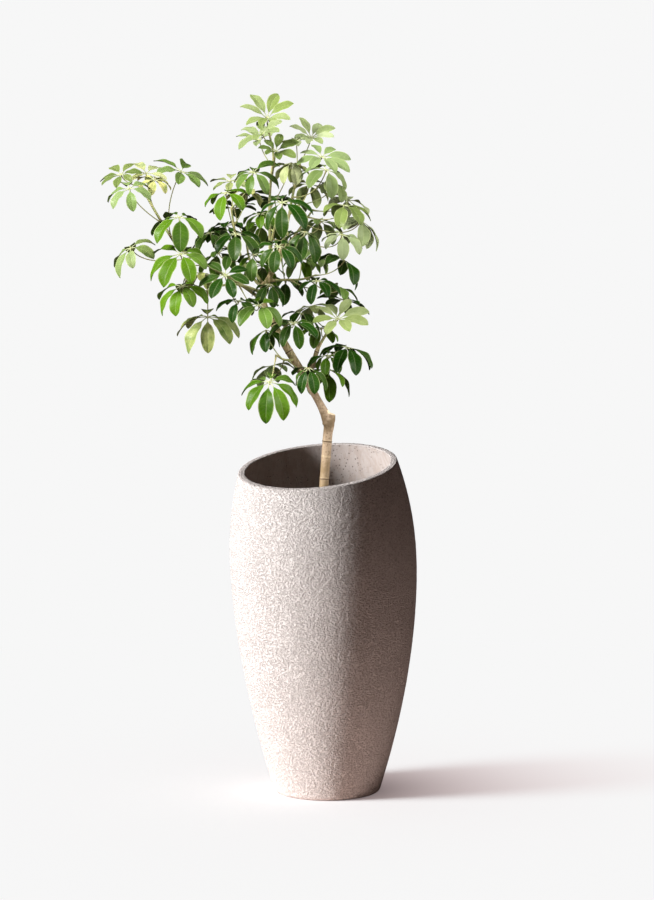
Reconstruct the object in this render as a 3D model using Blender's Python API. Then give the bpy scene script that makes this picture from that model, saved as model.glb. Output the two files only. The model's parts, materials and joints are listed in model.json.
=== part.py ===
"""A potted dwarf umbrella tree in a tall egg-shaped stone planter with a slanted rim.

Metres, +Z up. The origin is the middle of the pot's flat foot and -Y is the front.
One woody trunk stands in the soil. Each leafy shoot is one grown piece: a green stem,
its leaf stalks, and the leaflets that spread from the end of each stalk.
"""

import math
import random
from collections import namedtuple

import bmesh
import bpy
import numpy as np
from mathutils import Quaternion, Vector
from mathutils.bvhtree import BVHTree

# Pot
POT_WIDEST_RADIUS = 0.1655
POT_WIDEST_HEIGHT = 0.410
POT_FOOT_RADIUS = 0.0935
POT_RIM_RADIUS = 0.140
POT_RIM_HEIGHT = 0.584
POT_LOWER_POWER = 1.8
POT_UPPER_POWER = 2.1
POT_LEAN = -0.013
RIM_SLOPE_X = 0.092
RIM_SLOPE_Y = 0.223
WALL = 0.012
FLOOR = 0.020
FOOT_EDGE = 0.006
POT_SIDES = 34
POT_RINGS = 10
DRAIN_RADIUS = 0.007
DRAIN_REACH = 0.045
DRAIN_COUNT = 3
DRAIN_SIDES = 9

# Heights of the rings of the inner wall, shared with the soil's side
WALL_HEIGHTS = (FLOOR, 0.130, 0.245, 0.360, 0.470)

# Soil
SOIL_HEIGHT = 0.480
SOIL_WAVE = 0.0035
COARSE_WAVES = (61.0, 53.0)
FINE_WAVES = (113.0, 97.0)
MOUND_HEIGHT = 0.006
MOUND_SPREAD = 0.060
SOIL_RINGS = (0.99, 0.66, 0.30, 0.0)
HOLE_SLACK = 0.0004

# Gap between two pieces that touch
SEAT = 0.0003

# Edges that turn by more than this many degrees are drawn sharp
SHARP_ANGLE = 50.0

# Wood
TRUNK_SIDES = 9
TRUNK_STEP = 0.020
TRUNK_FOOT_DEPTH = 0.055
KNUCKLE_HEIGHT = 0.660
KNUCKLE_SWELL = 0.0022
KNUCKLE_SPREAD = 0.012
COLLAR_REACH = 0.012
COLLAR_SIDES = 6
COLLAR_SWELLS = (1.35, 1.10)
LIMB_SIDES = 7
LIMB_STEP = 0.014

# Green stems and leaf stalks
STEM_SIDES = 5
STEM_STEP = 0.020
STEM_TIP = 0.62
FIRST_LEAF_ALONG = 0.38
STALK_RADIUS = 0.0012
STALK_SIDES = 3
STALK_STEPS = 3
STALK_SWELLS = (1.4, 1.2)
STALK_BEND = 0.42
HUB_RADIUS = 0.0025
HUB_HALF_HEIGHT = 0.0009

# Leaflets: lengths in metres, angles in degrees, the rest are shares
LEAF_SEED = 4100
BLADE_WIDTH = 0.44
CROWDED_WIDTH = 3.0
BLADE_THICK = 0.0015
BLADE_FOLD = 0.20
BLADE_ROLL = 10.0
NECK = 0.0006
SMALL_LEAF = 0.0595
FAR_GROWTH = 0.11
MOST_CURVE = 0.8
TURN_SPREAD = 0.09
LIFT_SPREAD = 13.0
ROLL_SPREAD = 12.0
LEAST_SIZE = 0.88
MOST_SIZE = 1.06

# Room kept free round a leaflet, and how near two points are made one
CLEARANCE = 0.0005
MERGE_REACH = 0.000002

# How a leaf holds its leaflets: the angle that they start at above the leaf's plane,
# and how far they have curved down at the tip, in degrees
HABITS = {
    "grown": (4.0, 74.0),
    "flat": (14.0, 44.0),
    "young": (34.0, 46.0),
    "hanging": (-22.0, 66.0),
}

# Share of the blade's length, and share of its half width, out to the tip
BLADE_OUTLINE = ((0.14, 0.10), (0.50, 0.94), (0.81, 0.84), (1.0, 0.0))
SMALL_OUTLINE = ((0.44, 0.84), (0.80, 0.86), (1.0, 0.0))

Leaf = namedtuple("Leaf", "hub up size count habit")
Shoot = namedtuple("Shoot", "name root route radius leaves")

# Middle of the trunk from the soil up, and its radius there
TRUNK_ROUTE = (
    ((-0.011, 0.000, 0.484), 0.0088),
    ((-0.007, 0.000, 0.525), 0.0083),
    ((-0.003, 0.000, 0.578), 0.0082),
    ((0.001, 0.000, 0.631), 0.0084),
    ((0.003, 0.000, 0.655), 0.0086),
    ((-0.007, -0.001, 0.678), 0.0074),
    ((-0.016, -0.002, 0.695), 0.0066),
    ((-0.034, -0.006, 0.727), 0.0071),
    ((-0.052, -0.008, 0.757), 0.0072),
    ((-0.072, -0.008, 0.790), 0.0070),
    ((-0.090, -0.005, 0.822), 0.0065),
    ((-0.106, 0.000, 0.850), 0.0061),
    ((-0.113, 0.005, 0.873), 0.0057),
    ((-0.111, 0.008, 0.894), 0.0055),
    ((-0.101, 0.010, 0.913), 0.0049),
    ((-0.090, 0.010, 0.935), 0.0043),
    ((-0.083, 0.008, 0.955), 0.0038),
)
SECOND_LIMB = (
    ((-0.038, -0.006, 0.734), 0.0058),
    ((-0.030, -0.008, 0.748), 0.0050),
    ((-0.024, -0.011, 0.761), 0.0046),
    ((-0.020, -0.014, 0.775), 0.0042),
    ((-0.016, -0.016, 0.787), 0.0038),
)
PRUNED_STUB = (
    ((0.001, 0.000, 0.650), 0.0088),
    ((0.004, -0.001, 0.661), 0.0086),
    ((0.007, -0.002, 0.672), 0.0074),
)

SHOOTS = (
    Shoot(
        "shoot_far_left",
        (-0.113, 0.002, 0.871),
        (
            (-0.152, -0.025, 0.899),
            (-0.203, -0.055, 0.929),
            (-0.252, -0.075, 0.958),
            (-0.283, -0.065, 1.001),
            (-0.311, -0.045, 1.047),
            (-0.322, -0.035, 1.068),
        ),
        0.0031,
        (
            Leaf((-0.249, -0.120, 0.948), (0.0, -0.7, 0.9), 0.070, 7, "grown"),
            Leaf((-0.340, -0.060, 0.960), (-0.5, -0.6, 0.8), 0.058, 6, "grown"),
            Leaf((-0.252, -0.105, 1.011), (0.1, -0.4, 1.0), 0.071, 7, "grown"),
            Leaf((-0.259, 0.045, 1.100), (0.6, -0.5, 1.0), 0.060, 6, "flat"),
            Leaf((-0.340, -0.080, 1.061), (-0.2, -0.6, 0.8), 0.054, 6, "grown"),
            Leaf((-0.318, 0.012, 1.094), (0.0, -0.6, 1.0), 0.046, 6, "flat"),
            Leaf((-0.300, -0.030, 1.080), (0.2, -0.5, 1.0), 0.042, 6, "grown"),
            Leaf((-0.360, -0.015, 1.090), (-0.3, -0.7, 1.0), 0.044, 7, "flat"),
        ),
    ),
    Shoot(
        "shoot_left_front",
        (-0.112, 0.000, 0.882),
        (
            (-0.134, -0.032, 0.892),
            (-0.159, -0.060, 0.898),
            (-0.188, -0.072, 0.894),
            (-0.206, -0.074, 0.886),
        ),
        0.0027,
        (
            Leaf((-0.100, -0.052, 0.898), (0.1, -0.4, 1.0), 0.052, 6, "hanging"),
            Leaf((-0.116, -0.112, 0.861), (0.1, -0.5, 0.9), 0.061, 6, "grown"),
            Leaf((-0.173, -0.135, 0.912), (0.0, -0.8, 0.6), 0.050, 7, "flat"),
            Leaf((-0.152, -0.100, 0.868), (0.0, -0.4, 0.9), 0.047, 6, "grown"),
            Leaf((-0.221, 0.030, 0.919), (0.0, 0.3, 1.0), 0.047, 6, "grown"),
            Leaf((-0.250, -0.085, 0.894), (-0.2, -0.6, 1.0), 0.068, 7, "grown"),
            Leaf((-0.207, -0.060, 0.841), (0.0, -0.5, 0.9), 0.076, 8, "grown"),
        ),
    ),
    Shoot(
        "shoot_centre_left",
        (-0.112, 0.007, 0.890),
        (
            (-0.128, 0.006, 0.908),
            (-0.146, 0.005, 0.935),
            (-0.158, 0.004, 0.970),
            (-0.165, 0.000, 1.010),
            (-0.168, -0.005, 1.032),
        ),
        0.0027,
        (
            Leaf((-0.157, -0.072, 0.984), (0.0, -0.5, 0.9), 0.058, 7, "grown"),
            Leaf((-0.207, 0.020, 0.990), (-0.3, -0.4, 1.0), 0.054, 6, "grown"),
            Leaf((-0.181, 0.055, 1.005), (-0.1, 0.2, 1.0), 0.054, 7, "grown"),
            Leaf((-0.175, -0.062, 1.055), (-0.1, -0.4, 0.9), 0.054, 6, "grown"),
            Leaf((-0.143, 0.060, 1.066), (0.1, 0.2, 1.0), 0.047, 6, "grown"),
            Leaf((-0.172, 0.060, 1.084), (-0.1, -0.4, 1.0), 0.046, 6, "flat"),
            Leaf((-0.129, -0.030, 1.093), (0.0, -0.7, 1.0), 0.056, 8, "grown"),
        ),
    ),
    Shoot(
        "shoot_top",
        (-0.094, 0.010, 0.927),
        (
            (-0.100, 0.012, 0.952),
            (-0.101, 0.012, 0.993),
            (-0.101, 0.010, 1.045),
            (-0.098, 0.005, 1.089),
            (-0.094, 0.000, 1.123),
            (-0.100, -0.005, 1.158),
            (-0.104, -0.005, 1.180),
        ),
        0.0028,
        (
            Leaf((-0.066, 0.036, 1.108), (0.2, 0.4, 1.0), 0.042, 6, "grown"),
            Leaf((-0.089, -0.045, 1.128), (0.1, -0.9, 1.0), 0.042, 7, "young"),
            Leaf((-0.120, 0.045, 1.155), (-0.2, -0.5, 1.0), 0.045, 7, "young"),
            Leaf((-0.112, -0.040, 1.158), (-0.4, -0.7, 1.0), 0.050, 6, "young"),
            Leaf((-0.105, -0.003, 1.190), (0.0, -1.0, 1.0), 0.054, 8, "young"),
        ),
    ),
    Shoot(
        "shoot_upper_right",
        (-0.083, 0.008, 0.955),
        (
            (-0.075, 0.014, 0.985),
            (-0.068, 0.019, 1.016),
            (-0.062, 0.020, 1.049),
            (-0.055, 0.015, 1.079),
            (-0.047, 0.004, 1.112),
        ),
        0.0028,
        (
            Leaf((-0.032, 0.080, 1.080), (0.1, 0.4, 1.0), 0.051, 7, "grown"),
            Leaf((0.014, 0.000, 1.076), (0.4, 0.0, 1.0), 0.048, 6, "grown"),
            Leaf((-0.001, -0.088, 1.093), (0.3, -0.4, 0.9), 0.058, 6, "grown"),
            Leaf((-0.062, -0.040, 1.108), (0.0, -0.4, 1.0), 0.044, 6, "hanging"),
            Leaf((-0.055, 0.068, 1.156), (-0.1, -0.4, 1.0), 0.043, 6, "flat"),
            Leaf((-0.009, -0.048, 1.118), (0.3, -0.9, 1.0), 0.054, 8, "flat"),
            Leaf((-0.028, 0.015, 1.157), (0.2, -0.9, 1.0), 0.048, 8, "young"),
        ),
    ),
    Shoot(
        "shoot_right",
        (-0.086, 0.009, 0.946),
        (
            (-0.068, 0.020, 0.970),
            (-0.054, 0.028, 0.990),
            (-0.040, 0.035, 1.010),
            (-0.026, 0.040, 1.031),
        ),
        0.0026,
        (
            Leaf((0.026, -0.040, 0.984), (0.2, -0.4, 0.9), 0.051, 7, "grown"),
            Leaf((-0.012, 0.098, 1.014), (0.1, 0.4, 1.0), 0.054, 7, "grown"),
            Leaf((0.060, 0.020, 1.011), (0.5, -0.1, 0.9), 0.066, 6, "grown"),
            Leaf((0.030, -0.018, 1.036), (0.2, -0.3, 1.0), 0.058, 7, "grown"),
            Leaf((0.038, 0.062, 1.050), (0.4, 0.3, 1.0), 0.054, 6, "grown"),
        ),
    ),
    Shoot(
        "shoot_front",
        (-0.100, 0.010, 0.916),
        (
            (-0.100, -0.018, 0.935),
            (-0.098, -0.042, 0.956),
            (-0.094, -0.064, 0.980),
            (-0.088, -0.080, 1.004),
        ),
        0.0026,
        (
            Leaf((-0.126, -0.090, 0.948), (-0.1, -0.5, 0.9), 0.049, 6, "grown"),
            Leaf((-0.083, -0.140, 0.960), (0.0, -0.6, 0.8), 0.056, 7, "grown"),
            Leaf((-0.038, -0.066, 0.988), (0.2, -0.4, 0.9), 0.058, 7, "hanging"),
            Leaf((-0.115, -0.045, 1.020), (-0.1, -0.3, 1.0), 0.047, 6, "grown"),
            Leaf((-0.076, -0.130, 1.035), (-0.1, -0.5, 0.8), 0.068, 8, "grown"),
        ),
    ),
    Shoot(
        "shoot_mid_right",
        (-0.104, 0.009, 0.906),
        (
            (-0.074, 0.010, 0.907),
            (-0.046, 0.013, 0.908),
            (-0.021, 0.010, 0.915),
        ),
        0.0024,
        (
            Leaf((-0.018, -0.038, 0.904), (0.0, -0.4, 1.0), 0.050, 7, "grown"),
            Leaf((-0.046, 0.062, 0.945), (0.0, 0.3, 1.0), 0.049, 6, "grown"),
            Leaf((0.022, 0.040, 0.894), (0.4, 0.3, 0.9), 0.051, 6, "grown"),
            Leaf((0.030, -0.030, 0.940), (0.5, -0.1, 0.9), 0.064, 5, "grown"),
        ),
    ),
    Shoot(
        "shoot_second_limb",
        (-0.016, -0.016, 0.787),
        (
            (-0.008, -0.019, 0.801),
            (0.002, -0.022, 0.817),
            (0.011, -0.025, 0.834),
        ),
        0.0026,
        (
            Leaf((-0.010, 0.042, 0.822), (0.0, 0.4, 1.0), 0.049, 6, "grown"),
            Leaf((-0.030, 0.015, 0.860), (-0.2, 0.1, 1.0), 0.049, 6, "grown"),
            Leaf((0.030, 0.018, 0.872), (0.2, 0.2, 1.0), 0.054, 6, "flat"),
            Leaf((0.019, -0.040, 0.838), (0.1, -0.8, 1.0), 0.058, 8, "young"),
        ),
    ),
    Shoot(
        "shoot_low_left",
        (-0.058, -0.008, 0.766),
        (
            (-0.066, -0.034, 0.766),
            (-0.076, -0.056, 0.768),
            (-0.088, -0.070, 0.775),
        ),
        0.0024,
        (
            Leaf((-0.033, -0.064, 0.753), (0.1, -0.4, 0.9), 0.051, 7, "hanging"),
            Leaf((-0.098, 0.020, 0.755), (-0.3, 0.2, 1.0), 0.051, 6, "grown"),
            Leaf((-0.106, -0.060, 0.818), (-0.2, -0.2, 1.0), 0.054, 6, "hanging"),
            Leaf((-0.099, -0.094, 0.729), (0.0, -0.6, 0.8), 0.073, 8, "grown"),
        ),
    ),
    Shoot(
        "shoot_low_right",
        (-0.029, -0.008, 0.751),
        (
            (-0.012, 0.012, 0.758),
            (0.001, 0.024, 0.768),
            (0.013, 0.026, 0.779),
        ),
        0.0024,
        (
            Leaf((0.002, 0.056, 0.748), (0.1, 0.4, 0.9), 0.064, 6, "hanging"),
            Leaf((0.000, -0.026, 0.774), (0.0, -0.5, 0.9), 0.044, 6, "grown"),
            Leaf((0.036, -0.012, 0.788), (0.2, -0.2, 1.0), 0.068, 8, "grown"),
        ),
    ),
    Shoot(
        "shoot_inner_front",
        (-0.083, -0.006, 0.810),
        (
            (-0.075, -0.030, 0.822),
            (-0.066, -0.052, 0.830),
        ),
        0.0024,
        (
            Leaf((-0.045, -0.018, 0.848), (0.2, 0.0, 1.0), 0.049, 6, "grown"),
            Leaf((-0.058, -0.092, 0.831), (0.0, -0.4, 0.9), 0.058, 8, "grown"),
        ),
    ),
    Shoot(
        "shoot_back_left",
        (-0.112, 0.009, 0.898),
        (
            (-0.128, 0.040, 0.922),
            (-0.140, 0.070, 0.950),
            (-0.146, 0.095, 0.982),
        ),
        0.0026,
        (
            Leaf((-0.118, 0.098, 0.935), (0.1, 0.4, 0.9), 0.054, 7, "grown"),
            Leaf((-0.196, 0.100, 0.958), (-0.4, 0.2, 0.9), 0.056, 7, "grown"),
            Leaf((-0.120, 0.132, 1.010), (0.1, 0.4, 0.9), 0.056, 7, "grown"),
            Leaf((-0.168, 0.130, 1.040), (-0.1, 0.2, 1.0), 0.054, 7, "flat"),
        ),
    ),
    Shoot(
        "shoot_back_right",
        (-0.095, 0.011, 0.924),
        (
            (-0.085, 0.042, 0.940),
            (-0.076, 0.072, 0.962),
            (-0.070, 0.096, 0.992),
        ),
        0.0026,
        (
            Leaf((-0.074, 0.098, 0.908), (0.0, 0.4, 0.9), 0.051, 7, "grown"),
            Leaf((-0.024, 0.112, 0.958), (0.4, 0.3, 0.9), 0.054, 7, "grown"),
            Leaf((-0.072, 0.150, 0.994), (0.1, 0.4, 0.9), 0.054, 7, "grown"),
            Leaf((-0.094, 0.108, 1.056), (0.0, 0.2, 1.0), 0.054, 7, "flat"),
        ),
    ),
)


def clear_scene():
    for obj in list(bpy.data.objects):
        bpy.data.objects.remove(obj, do_unlink=True)


def make_material(name, colour, roughness):
    material = bpy.data.materials.new(name)
    material.use_nodes = True
    shader = material.node_tree.nodes["Principled BSDF"]
    shader.inputs["Base Color"].default_value = (*colour, 1.0)
    shader.inputs["Roughness"].default_value = roughness
    shader.inputs["Metallic"].default_value = 0.0
    return material


def make_object(name, points, faces, material):
    mesh = bpy.data.meshes.new(name)
    mesh.from_pydata([tuple(point) for point in points], [], faces)
    mesh.validate()
    obj = bpy.data.objects.new(name, mesh)
    bpy.context.scene.collection.objects.link(obj)
    if material:
        mesh.materials.append(material)
    return obj


def shade_round(obj):
    obj.data.shade_smooth()
    obj.data.set_sharp_from_angle(angle=math.radians(SHARP_ANGLE))


# Smooth routes and tubes


def smooth_route(points, step):
    """A Catmull-Rom curve through the points, read about every step."""
    points = [Vector(point) for point in points]
    before = points[0] * 2 - points[1]
    after = points[-1] * 2 - points[-2]
    chain = [before, *points, after]
    route = [points[0]]
    for p0, p1, p2, p3 in zip(chain, chain[1:], chain[2:], chain[3:]):
        count = max(1, round((p2 - p1).length / step))
        for number in range(1, count + 1):
            t = number / count
            route.append(
                0.5
                * (
                    2 * p1
                    + (p2 - p0) * t
                    + (2 * p0 - 5 * p1 + 4 * p2 - p3) * t**2
                    + (3 * p1 - p0 - 3 * p2 + p3) * t**3
                )
            )
    return route


def tangents_of(route):
    ends = [route[0], *route, route[-1]]
    return [(after - before).normalized() for before, after in zip(ends, ends[2:])]


def tube(route, radii, sides, first_tangent=None):
    """Points and faces of a closed tube with flat ends."""
    tangents = tangents_of(route)
    if first_tangent:
        tangents[0] = first_tangent
    side = tangents[0].orthogonal().normalized()
    points = []
    for centre, tangent, radius in zip(route, tangents, radii):
        side = (side - tangent * side.dot(tangent)).normalized()
        other = tangent.cross(side)
        for number in range(sides):
            angle = math.tau * number / sides
            offset = side * math.cos(angle) + other * math.sin(angle)
            points.append(centre + offset * radius)
    faces = [tuple(reversed(range(sides)))]
    for ring in range(len(route) - 1):
        low = ring * sides
        for number in range(sides):
            after = (number + 1) % sides
            faces.append((low + number, low + after, low + sides + after, low + sides + number))
    top = (len(route) - 1) * sides
    faces.append(tuple(range(top, top + sides)))
    return points, faces


# Joining repeats into one body


def join_all(name, pieces, material):
    """One body from overlapping closed pieces, each given as points and faces."""
    base = make_object(name, *pieces[0], material)
    group = bpy.data.collections.new(name + "_pieces")
    bpy.context.scene.collection.children.link(group)
    for number, piece in enumerate(pieces[1:]):
        extra = make_object(f"{name}_{number}", *piece, material)
        bpy.context.scene.collection.objects.unlink(extra)
        group.objects.link(extra)
    union = base.modifiers.new("union", "BOOLEAN")
    union.operation = "UNION"
    union.operand_type = "COLLECTION"
    union.collection = group
    union.solver = "MANIFOLD"
    graph = bpy.context.evaluated_depsgraph_get()
    joined = bpy.data.meshes.new_from_object(base.evaluated_get(graph))
    base.modifiers.clear()
    base.data = joined
    joined.name = name
    for extra in list(group.objects):
        bpy.data.objects.remove(extra, do_unlink=True)
    bpy.data.collections.remove(group)
    keep_largest(joined)
    return base


def keep_largest(mesh):
    """Drops loose scraps and the walls of sealed hollows."""
    shape = bmesh.new()
    shape.from_mesh(mesh)
    split_evenly(shape)
    unseen = set(shape.faces)
    bodies = []
    while unseen:
        body = [unseen.pop()]
        for face in body:
            beside = {other for edge in face.edges for other in edge.link_faces} & unseen
            unseen -= beside
            body += beside
        bodies.append(body)
    largest = max(bodies, key=len)
    scraps = [face for body in bodies if body is not largest for face in body]
    bmesh.ops.delete(shape, geom=scraps, context="FACES")
    shape.to_mesh(mesh)
    shape.free()


def split_evenly(shape):
    """Cuts the faces into triangles, with no point midway along a straight edge and no flap
    of two faces back to back."""
    bmesh.ops.remove_doubles(shape, verts=shape.verts, dist=MERGE_REACH)
    midway = [vert for vert in shape.verts if len(vert.link_edges) == 2]
    bmesh.ops.dissolve_verts(shape, verts=midway)
    bmesh.ops.triangulate(shape, faces=shape.faces)
    first = {}
    flaps = []
    for face in shape.faces:
        corners = frozenset(face.verts)
        if corners in first:
            flaps += [face, first[corners]]
        first[corners] = face
    bmesh.ops.delete(shape, geom=flaps, context="FACES")


# Pot and soil


def pot_radius(height):
    if height < POT_WIDEST_HEIGHT:
        share = (POT_WIDEST_HEIGHT - height) / POT_WIDEST_HEIGHT
        drop = POT_WIDEST_RADIUS - POT_FOOT_RADIUS
        return POT_WIDEST_RADIUS - drop * share**POT_LOWER_POWER
    share = (height - POT_WIDEST_HEIGHT) / (POT_RIM_HEIGHT - POT_WIDEST_HEIGHT)
    drop = POT_WIDEST_RADIUS - POT_RIM_RADIUS
    return POT_WIDEST_RADIUS - drop * share**POT_UPPER_POWER


def pot_point(angle, height, inset=0.0):
    """A point of the pot's wall, moved in from the outer face by inset."""
    middle = POT_LEAN * (height / POT_RIM_HEIGHT) ** 2
    radius = pot_radius(height) - inset
    return Vector((middle + radius * math.cos(angle), radius * math.sin(angle), height))


def rim_height(angle, inset=0.0):
    """Height of the slanted rim's plane where the wall meets it."""
    height = POT_RIM_HEIGHT
    for _ in range(8):
        point = pot_point(angle, height, inset)
        height = POT_RIM_HEIGHT + RIM_SLOPE_X * point.x + RIM_SLOPE_Y * point.y
    return height


def rings_to_faces(rings, sides):
    faces = []
    for ring in range(rings - 1):
        low = ring * sides
        for number in range(sides):
            after = (number + 1) % sides
            faces.append((low + number, low + after, low + sides + after, low + sides + number))
    return faces


def pot_profile():
    """Share of the way up to the rim, inset, and drop below the rim, from the foot's edge
    up the outer wall, over the rounded lip and a little way down the inner wall."""
    outer = [(0.0, FOOT_EDGE, 0.0), (0.0, FOOT_EDGE * 0.3, -FOOT_EDGE * 0.3)]
    outer += [(0.0, 0.0, -FOOT_EDGE)]
    outer += [(step / POT_RINGS, 0.0, 0.0) for step in range(1, POT_RINGS)]
    lip = [
        (1.0, 0.0, WALL * 0.40),
        (1.0, WALL * 0.16, WALL * 0.12),
        (1.0, WALL * 0.50, 0.0),
        (1.0, WALL * 0.84, WALL * 0.12),
        (1.0, WALL, WALL * 0.40),
        (0.92, WALL, 0.0),
    ]
    return outer + lip


def pot_angles():
    return [math.tau * number / POT_SIDES for number in range(POT_SIDES)]


def pot_ring(share, inset, drop):
    return [
        pot_point(angle, share * rim_height(angle, inset) - drop, inset)
        for angle in pot_angles()
    ]


def level_ring(height, inset):
    return [pot_point(angle, height, inset) for angle in pot_angles()]


def make_pot():
    rings = [pot_ring(*row) for row in pot_profile()]
    rings += [level_ring(height, WALL) for height in reversed(WALL_HEIGHTS)]
    points = [point for ring in rings for point in ring]
    faces = [tuple(reversed(range(POT_SIDES)))]
    faces += rings_to_faces(len(rings), POT_SIDES)
    top = (len(rings) - 1) * POT_SIDES
    faces.append(tuple(range(top, top + POT_SIDES)))
    stone = make_material("cast_stone", (0.54, 0.48, 0.43), 0.9)
    pot = make_object("pot", points, faces, stone)
    cut_drains(pot)
    shade_round(pot)


def drill(target, name, place, radius, depth):
    """Cuts a round hole of this depth, centred on place, and removes the cutter."""
    shape = bmesh.new()
    bmesh.ops.create_cone(
        shape, cap_ends=True, segments=DRAIN_SIDES, radius1=radius, radius2=radius, depth=depth
    )
    mesh = bpy.data.meshes.new(name)
    shape.to_mesh(mesh)
    shape.free()
    cutter = bpy.data.objects.new(name, mesh)
    bpy.context.scene.collection.objects.link(cutter)
    cutter.location = place
    cut = target.modifiers.new(name, "BOOLEAN")
    cut.operation = "DIFFERENCE"
    cut.object = cutter
    graph = bpy.context.evaluated_depsgraph_get()
    drilled = bpy.data.meshes.new_from_object(target.evaluated_get(graph))
    target.modifiers.clear()
    target.data = drilled
    bpy.data.objects.remove(cutter, do_unlink=True)


def cut_drains(pot):
    for number in range(DRAIN_COUNT):
        angle = math.tau * (number + 0.25) / DRAIN_COUNT
        place = Vector((DRAIN_REACH * math.cos(angle), DRAIN_REACH * math.sin(angle), FLOOR / 2))
        drill(pot, f"drain_{number}", place, DRAIN_RADIUS, FLOOR * 2)


def soil_surface(x, y):
    """Height of the soil: a low uneven mound round the trunk."""
    far = math.hypot(x, y) / MOUND_SPREAD
    wave = math.sin(x * COARSE_WAVES[0]) * math.cos(y * COARSE_WAVES[1])
    wave += math.sin(x * FINE_WAVES[0] - y * FINE_WAVES[1]) / 2
    return SOIL_HEIGHT + MOUND_HEIGHT * math.exp(-(far**2)) + SOIL_WAVE * wave * min(1.0, far)


def make_soil():
    """The fill, with a plain round hole for the foot of the trunk."""
    inset = WALL + SEAT
    rings = [level_ring(FLOOR + SEAT, inset)]
    rings += [level_ring(height, inset) for height in WALL_HEIGHTS[1:]]
    foot = Vector(TRUNK_ROUTE[0][0])
    hole = TRUNK_ROUTE[0][1] + HOLE_SLACK
    for reach in SOIL_RINGS:
        ring = []
        for angle in pot_angles():
            edge = pot_point(angle, SOIL_HEIGHT, inset)
            inner = foot + Vector((math.cos(angle), math.sin(angle), 0)) * hole
            place = inner.lerp(edge, reach)
            ring.append(Vector((place.x, place.y, soil_surface(place.x, place.y))))
        rings.append(ring)
    bottom = foot.z - TRUNK_FOOT_DEPTH - SEAT
    rings.append([Vector((point.x, point.y, bottom)) for point in rings[-1]])
    points = [point for ring in rings for point in ring]
    faces = [tuple(reversed(range(POT_SIDES)))]
    faces += rings_to_faces(len(rings), POT_SIDES)
    top = (len(rings) - 1) * POT_SIDES
    faces.append(tuple(range(top, top + POT_SIDES)))
    dark = make_material("potting_soil", (0.07, 0.05, 0.035), 1.0)
    soil = make_object("soil", points, faces, dark)
    shade_round(soil)


# Trunk


def limb(rows, step, sides):
    """A tube along rows of (place, radius), swollen where the trunk was pruned."""
    route = smooth_route([place for place, _ in rows], step)
    radii = [radius for _, radius in rows]
    marks = [Vector(place) for place, _ in rows]
    lengths = np.cumsum([0.0] + [(b - a).length for a, b in zip(marks, marks[1:])])
    places = np.cumsum([0.0] + [(b - a).length for a, b in zip(route, route[1:])])
    widths = np.interp(places / places[-1], lengths / lengths[-1], radii)
    widths = [
        width + KNUCKLE_SWELL * math.exp(-(((point.z - KNUCKLE_HEIGHT) / KNUCKLE_SPREAD) ** 2))
        for width, point in zip(widths, route)
    ]
    return tube(route, widths, sides)


def trunk_foot():
    """The straight length in the soil, which runs on into the trunk."""
    top = Vector(TRUNK_ROUTE[0][0])
    low = top - Vector((0, 0, TRUNK_FOOT_DEPTH))
    return tube([low, top, top + Vector((0.0008, 0, 0.006))], [TRUNK_ROUTE[0][1]] * 3, TRUNK_SIDES)


def shoot_start(shoot):
    """Where the shoot's own stem begins and its direction there, clear of its collar."""
    root = Vector(shoot.root)
    direction = (Vector(shoot.route[0]) - root).normalized()
    return root + direction * COLLAR_REACH, direction


def collar(shoot):
    """The short woody base that a shoot grows from."""
    start, _ = shoot_start(shoot)
    radii = [shoot.radius * swell for swell in COLLAR_SWELLS]
    return tube([Vector(shoot.root), start], radii, COLLAR_SIDES)


def trunk_pieces():
    pieces = [limb(TRUNK_ROUTE, TRUNK_STEP, TRUNK_SIDES), trunk_foot()]
    pieces += [limb(SECOND_LIMB, LIMB_STEP, LIMB_SIDES)]
    pieces += [limb(PRUNED_STUB, LIMB_STEP, TRUNK_SIDES)]
    return pieces + [collar(shoot) for shoot in SHOOTS]


def make_trunk():
    bark = make_material("bark", (0.47, 0.36, 0.23), 0.8)
    trunk = join_all("trunk", trunk_pieces(), bark)
    shade_round(trunk)


# Leafy shoots


def stem_of(shoot):
    start, direction = shoot_start(shoot)
    start = start + direction * SEAT
    route = smooth_route([start, *shoot.route], STEM_STEP)
    radii = list(np.linspace(shoot.radius, shoot.radius * STEM_TIP, len(route)))
    return route, tube(route, radii, STEM_SIDES, direction)


def along(route, share):
    lengths = [0.0]
    for low, high in zip(route, route[1:]):
        lengths.append(lengths[-1] + (high - low).length)
    place = share * lengths[-1]
    for number in range(1, len(route)):
        if lengths[number] >= place:
            part = (place - lengths[number - 1]) / (lengths[number] - lengths[number - 1])
            return route[number - 1].lerp(route[number], part)
    return route[-1]


def stalk_route(start, leaf, bow):
    """The leaf stalk's curve from the stem to the hub, which it reaches along the leaf's axis."""
    hub = Vector(leaf.hub)
    up = Vector(leaf.up).normalized()
    bend = hub - up * (hub - start).length * STALK_BEND + bow
    route = []
    for number in range(STALK_STEPS + 1):
        t = number / STALK_STEPS
        route.append(start * (1 - t) ** 2 + bend * 2 * t * (1 - t) + hub * t**2)
    return route


def stalk(route, thicker=0.0):
    radii = [STALK_RADIUS + thicker] * len(route)
    radii[0] = STALK_RADIUS * STALK_SWELLS[0] + thicker
    radii[-1] = STALK_RADIUS * STALK_SWELLS[1] + thicker
    return tube(route, radii, STALK_SIDES)


def leaflet_rows(leaf, rng):
    """For each leaflet its direction round the hub, length, and lift and roll in degrees."""
    turn = rng.uniform(0, math.tau)
    rows = []
    for number in range(leaf.count):
        place = number + rng.uniform(-TURN_SPREAD, TURN_SPREAD)
        lift = rng.uniform(-LIFT_SPREAD, LIFT_SPREAD)
        size = rng.uniform(LEAST_SIZE, MOST_SIZE)
        roll = BLADE_ROLL + rng.uniform(-ROLL_SPREAD, ROLL_SPREAD)
        rows.append((turn + math.tau * place / leaf.count, size, lift, roll))
    return rows


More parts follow.
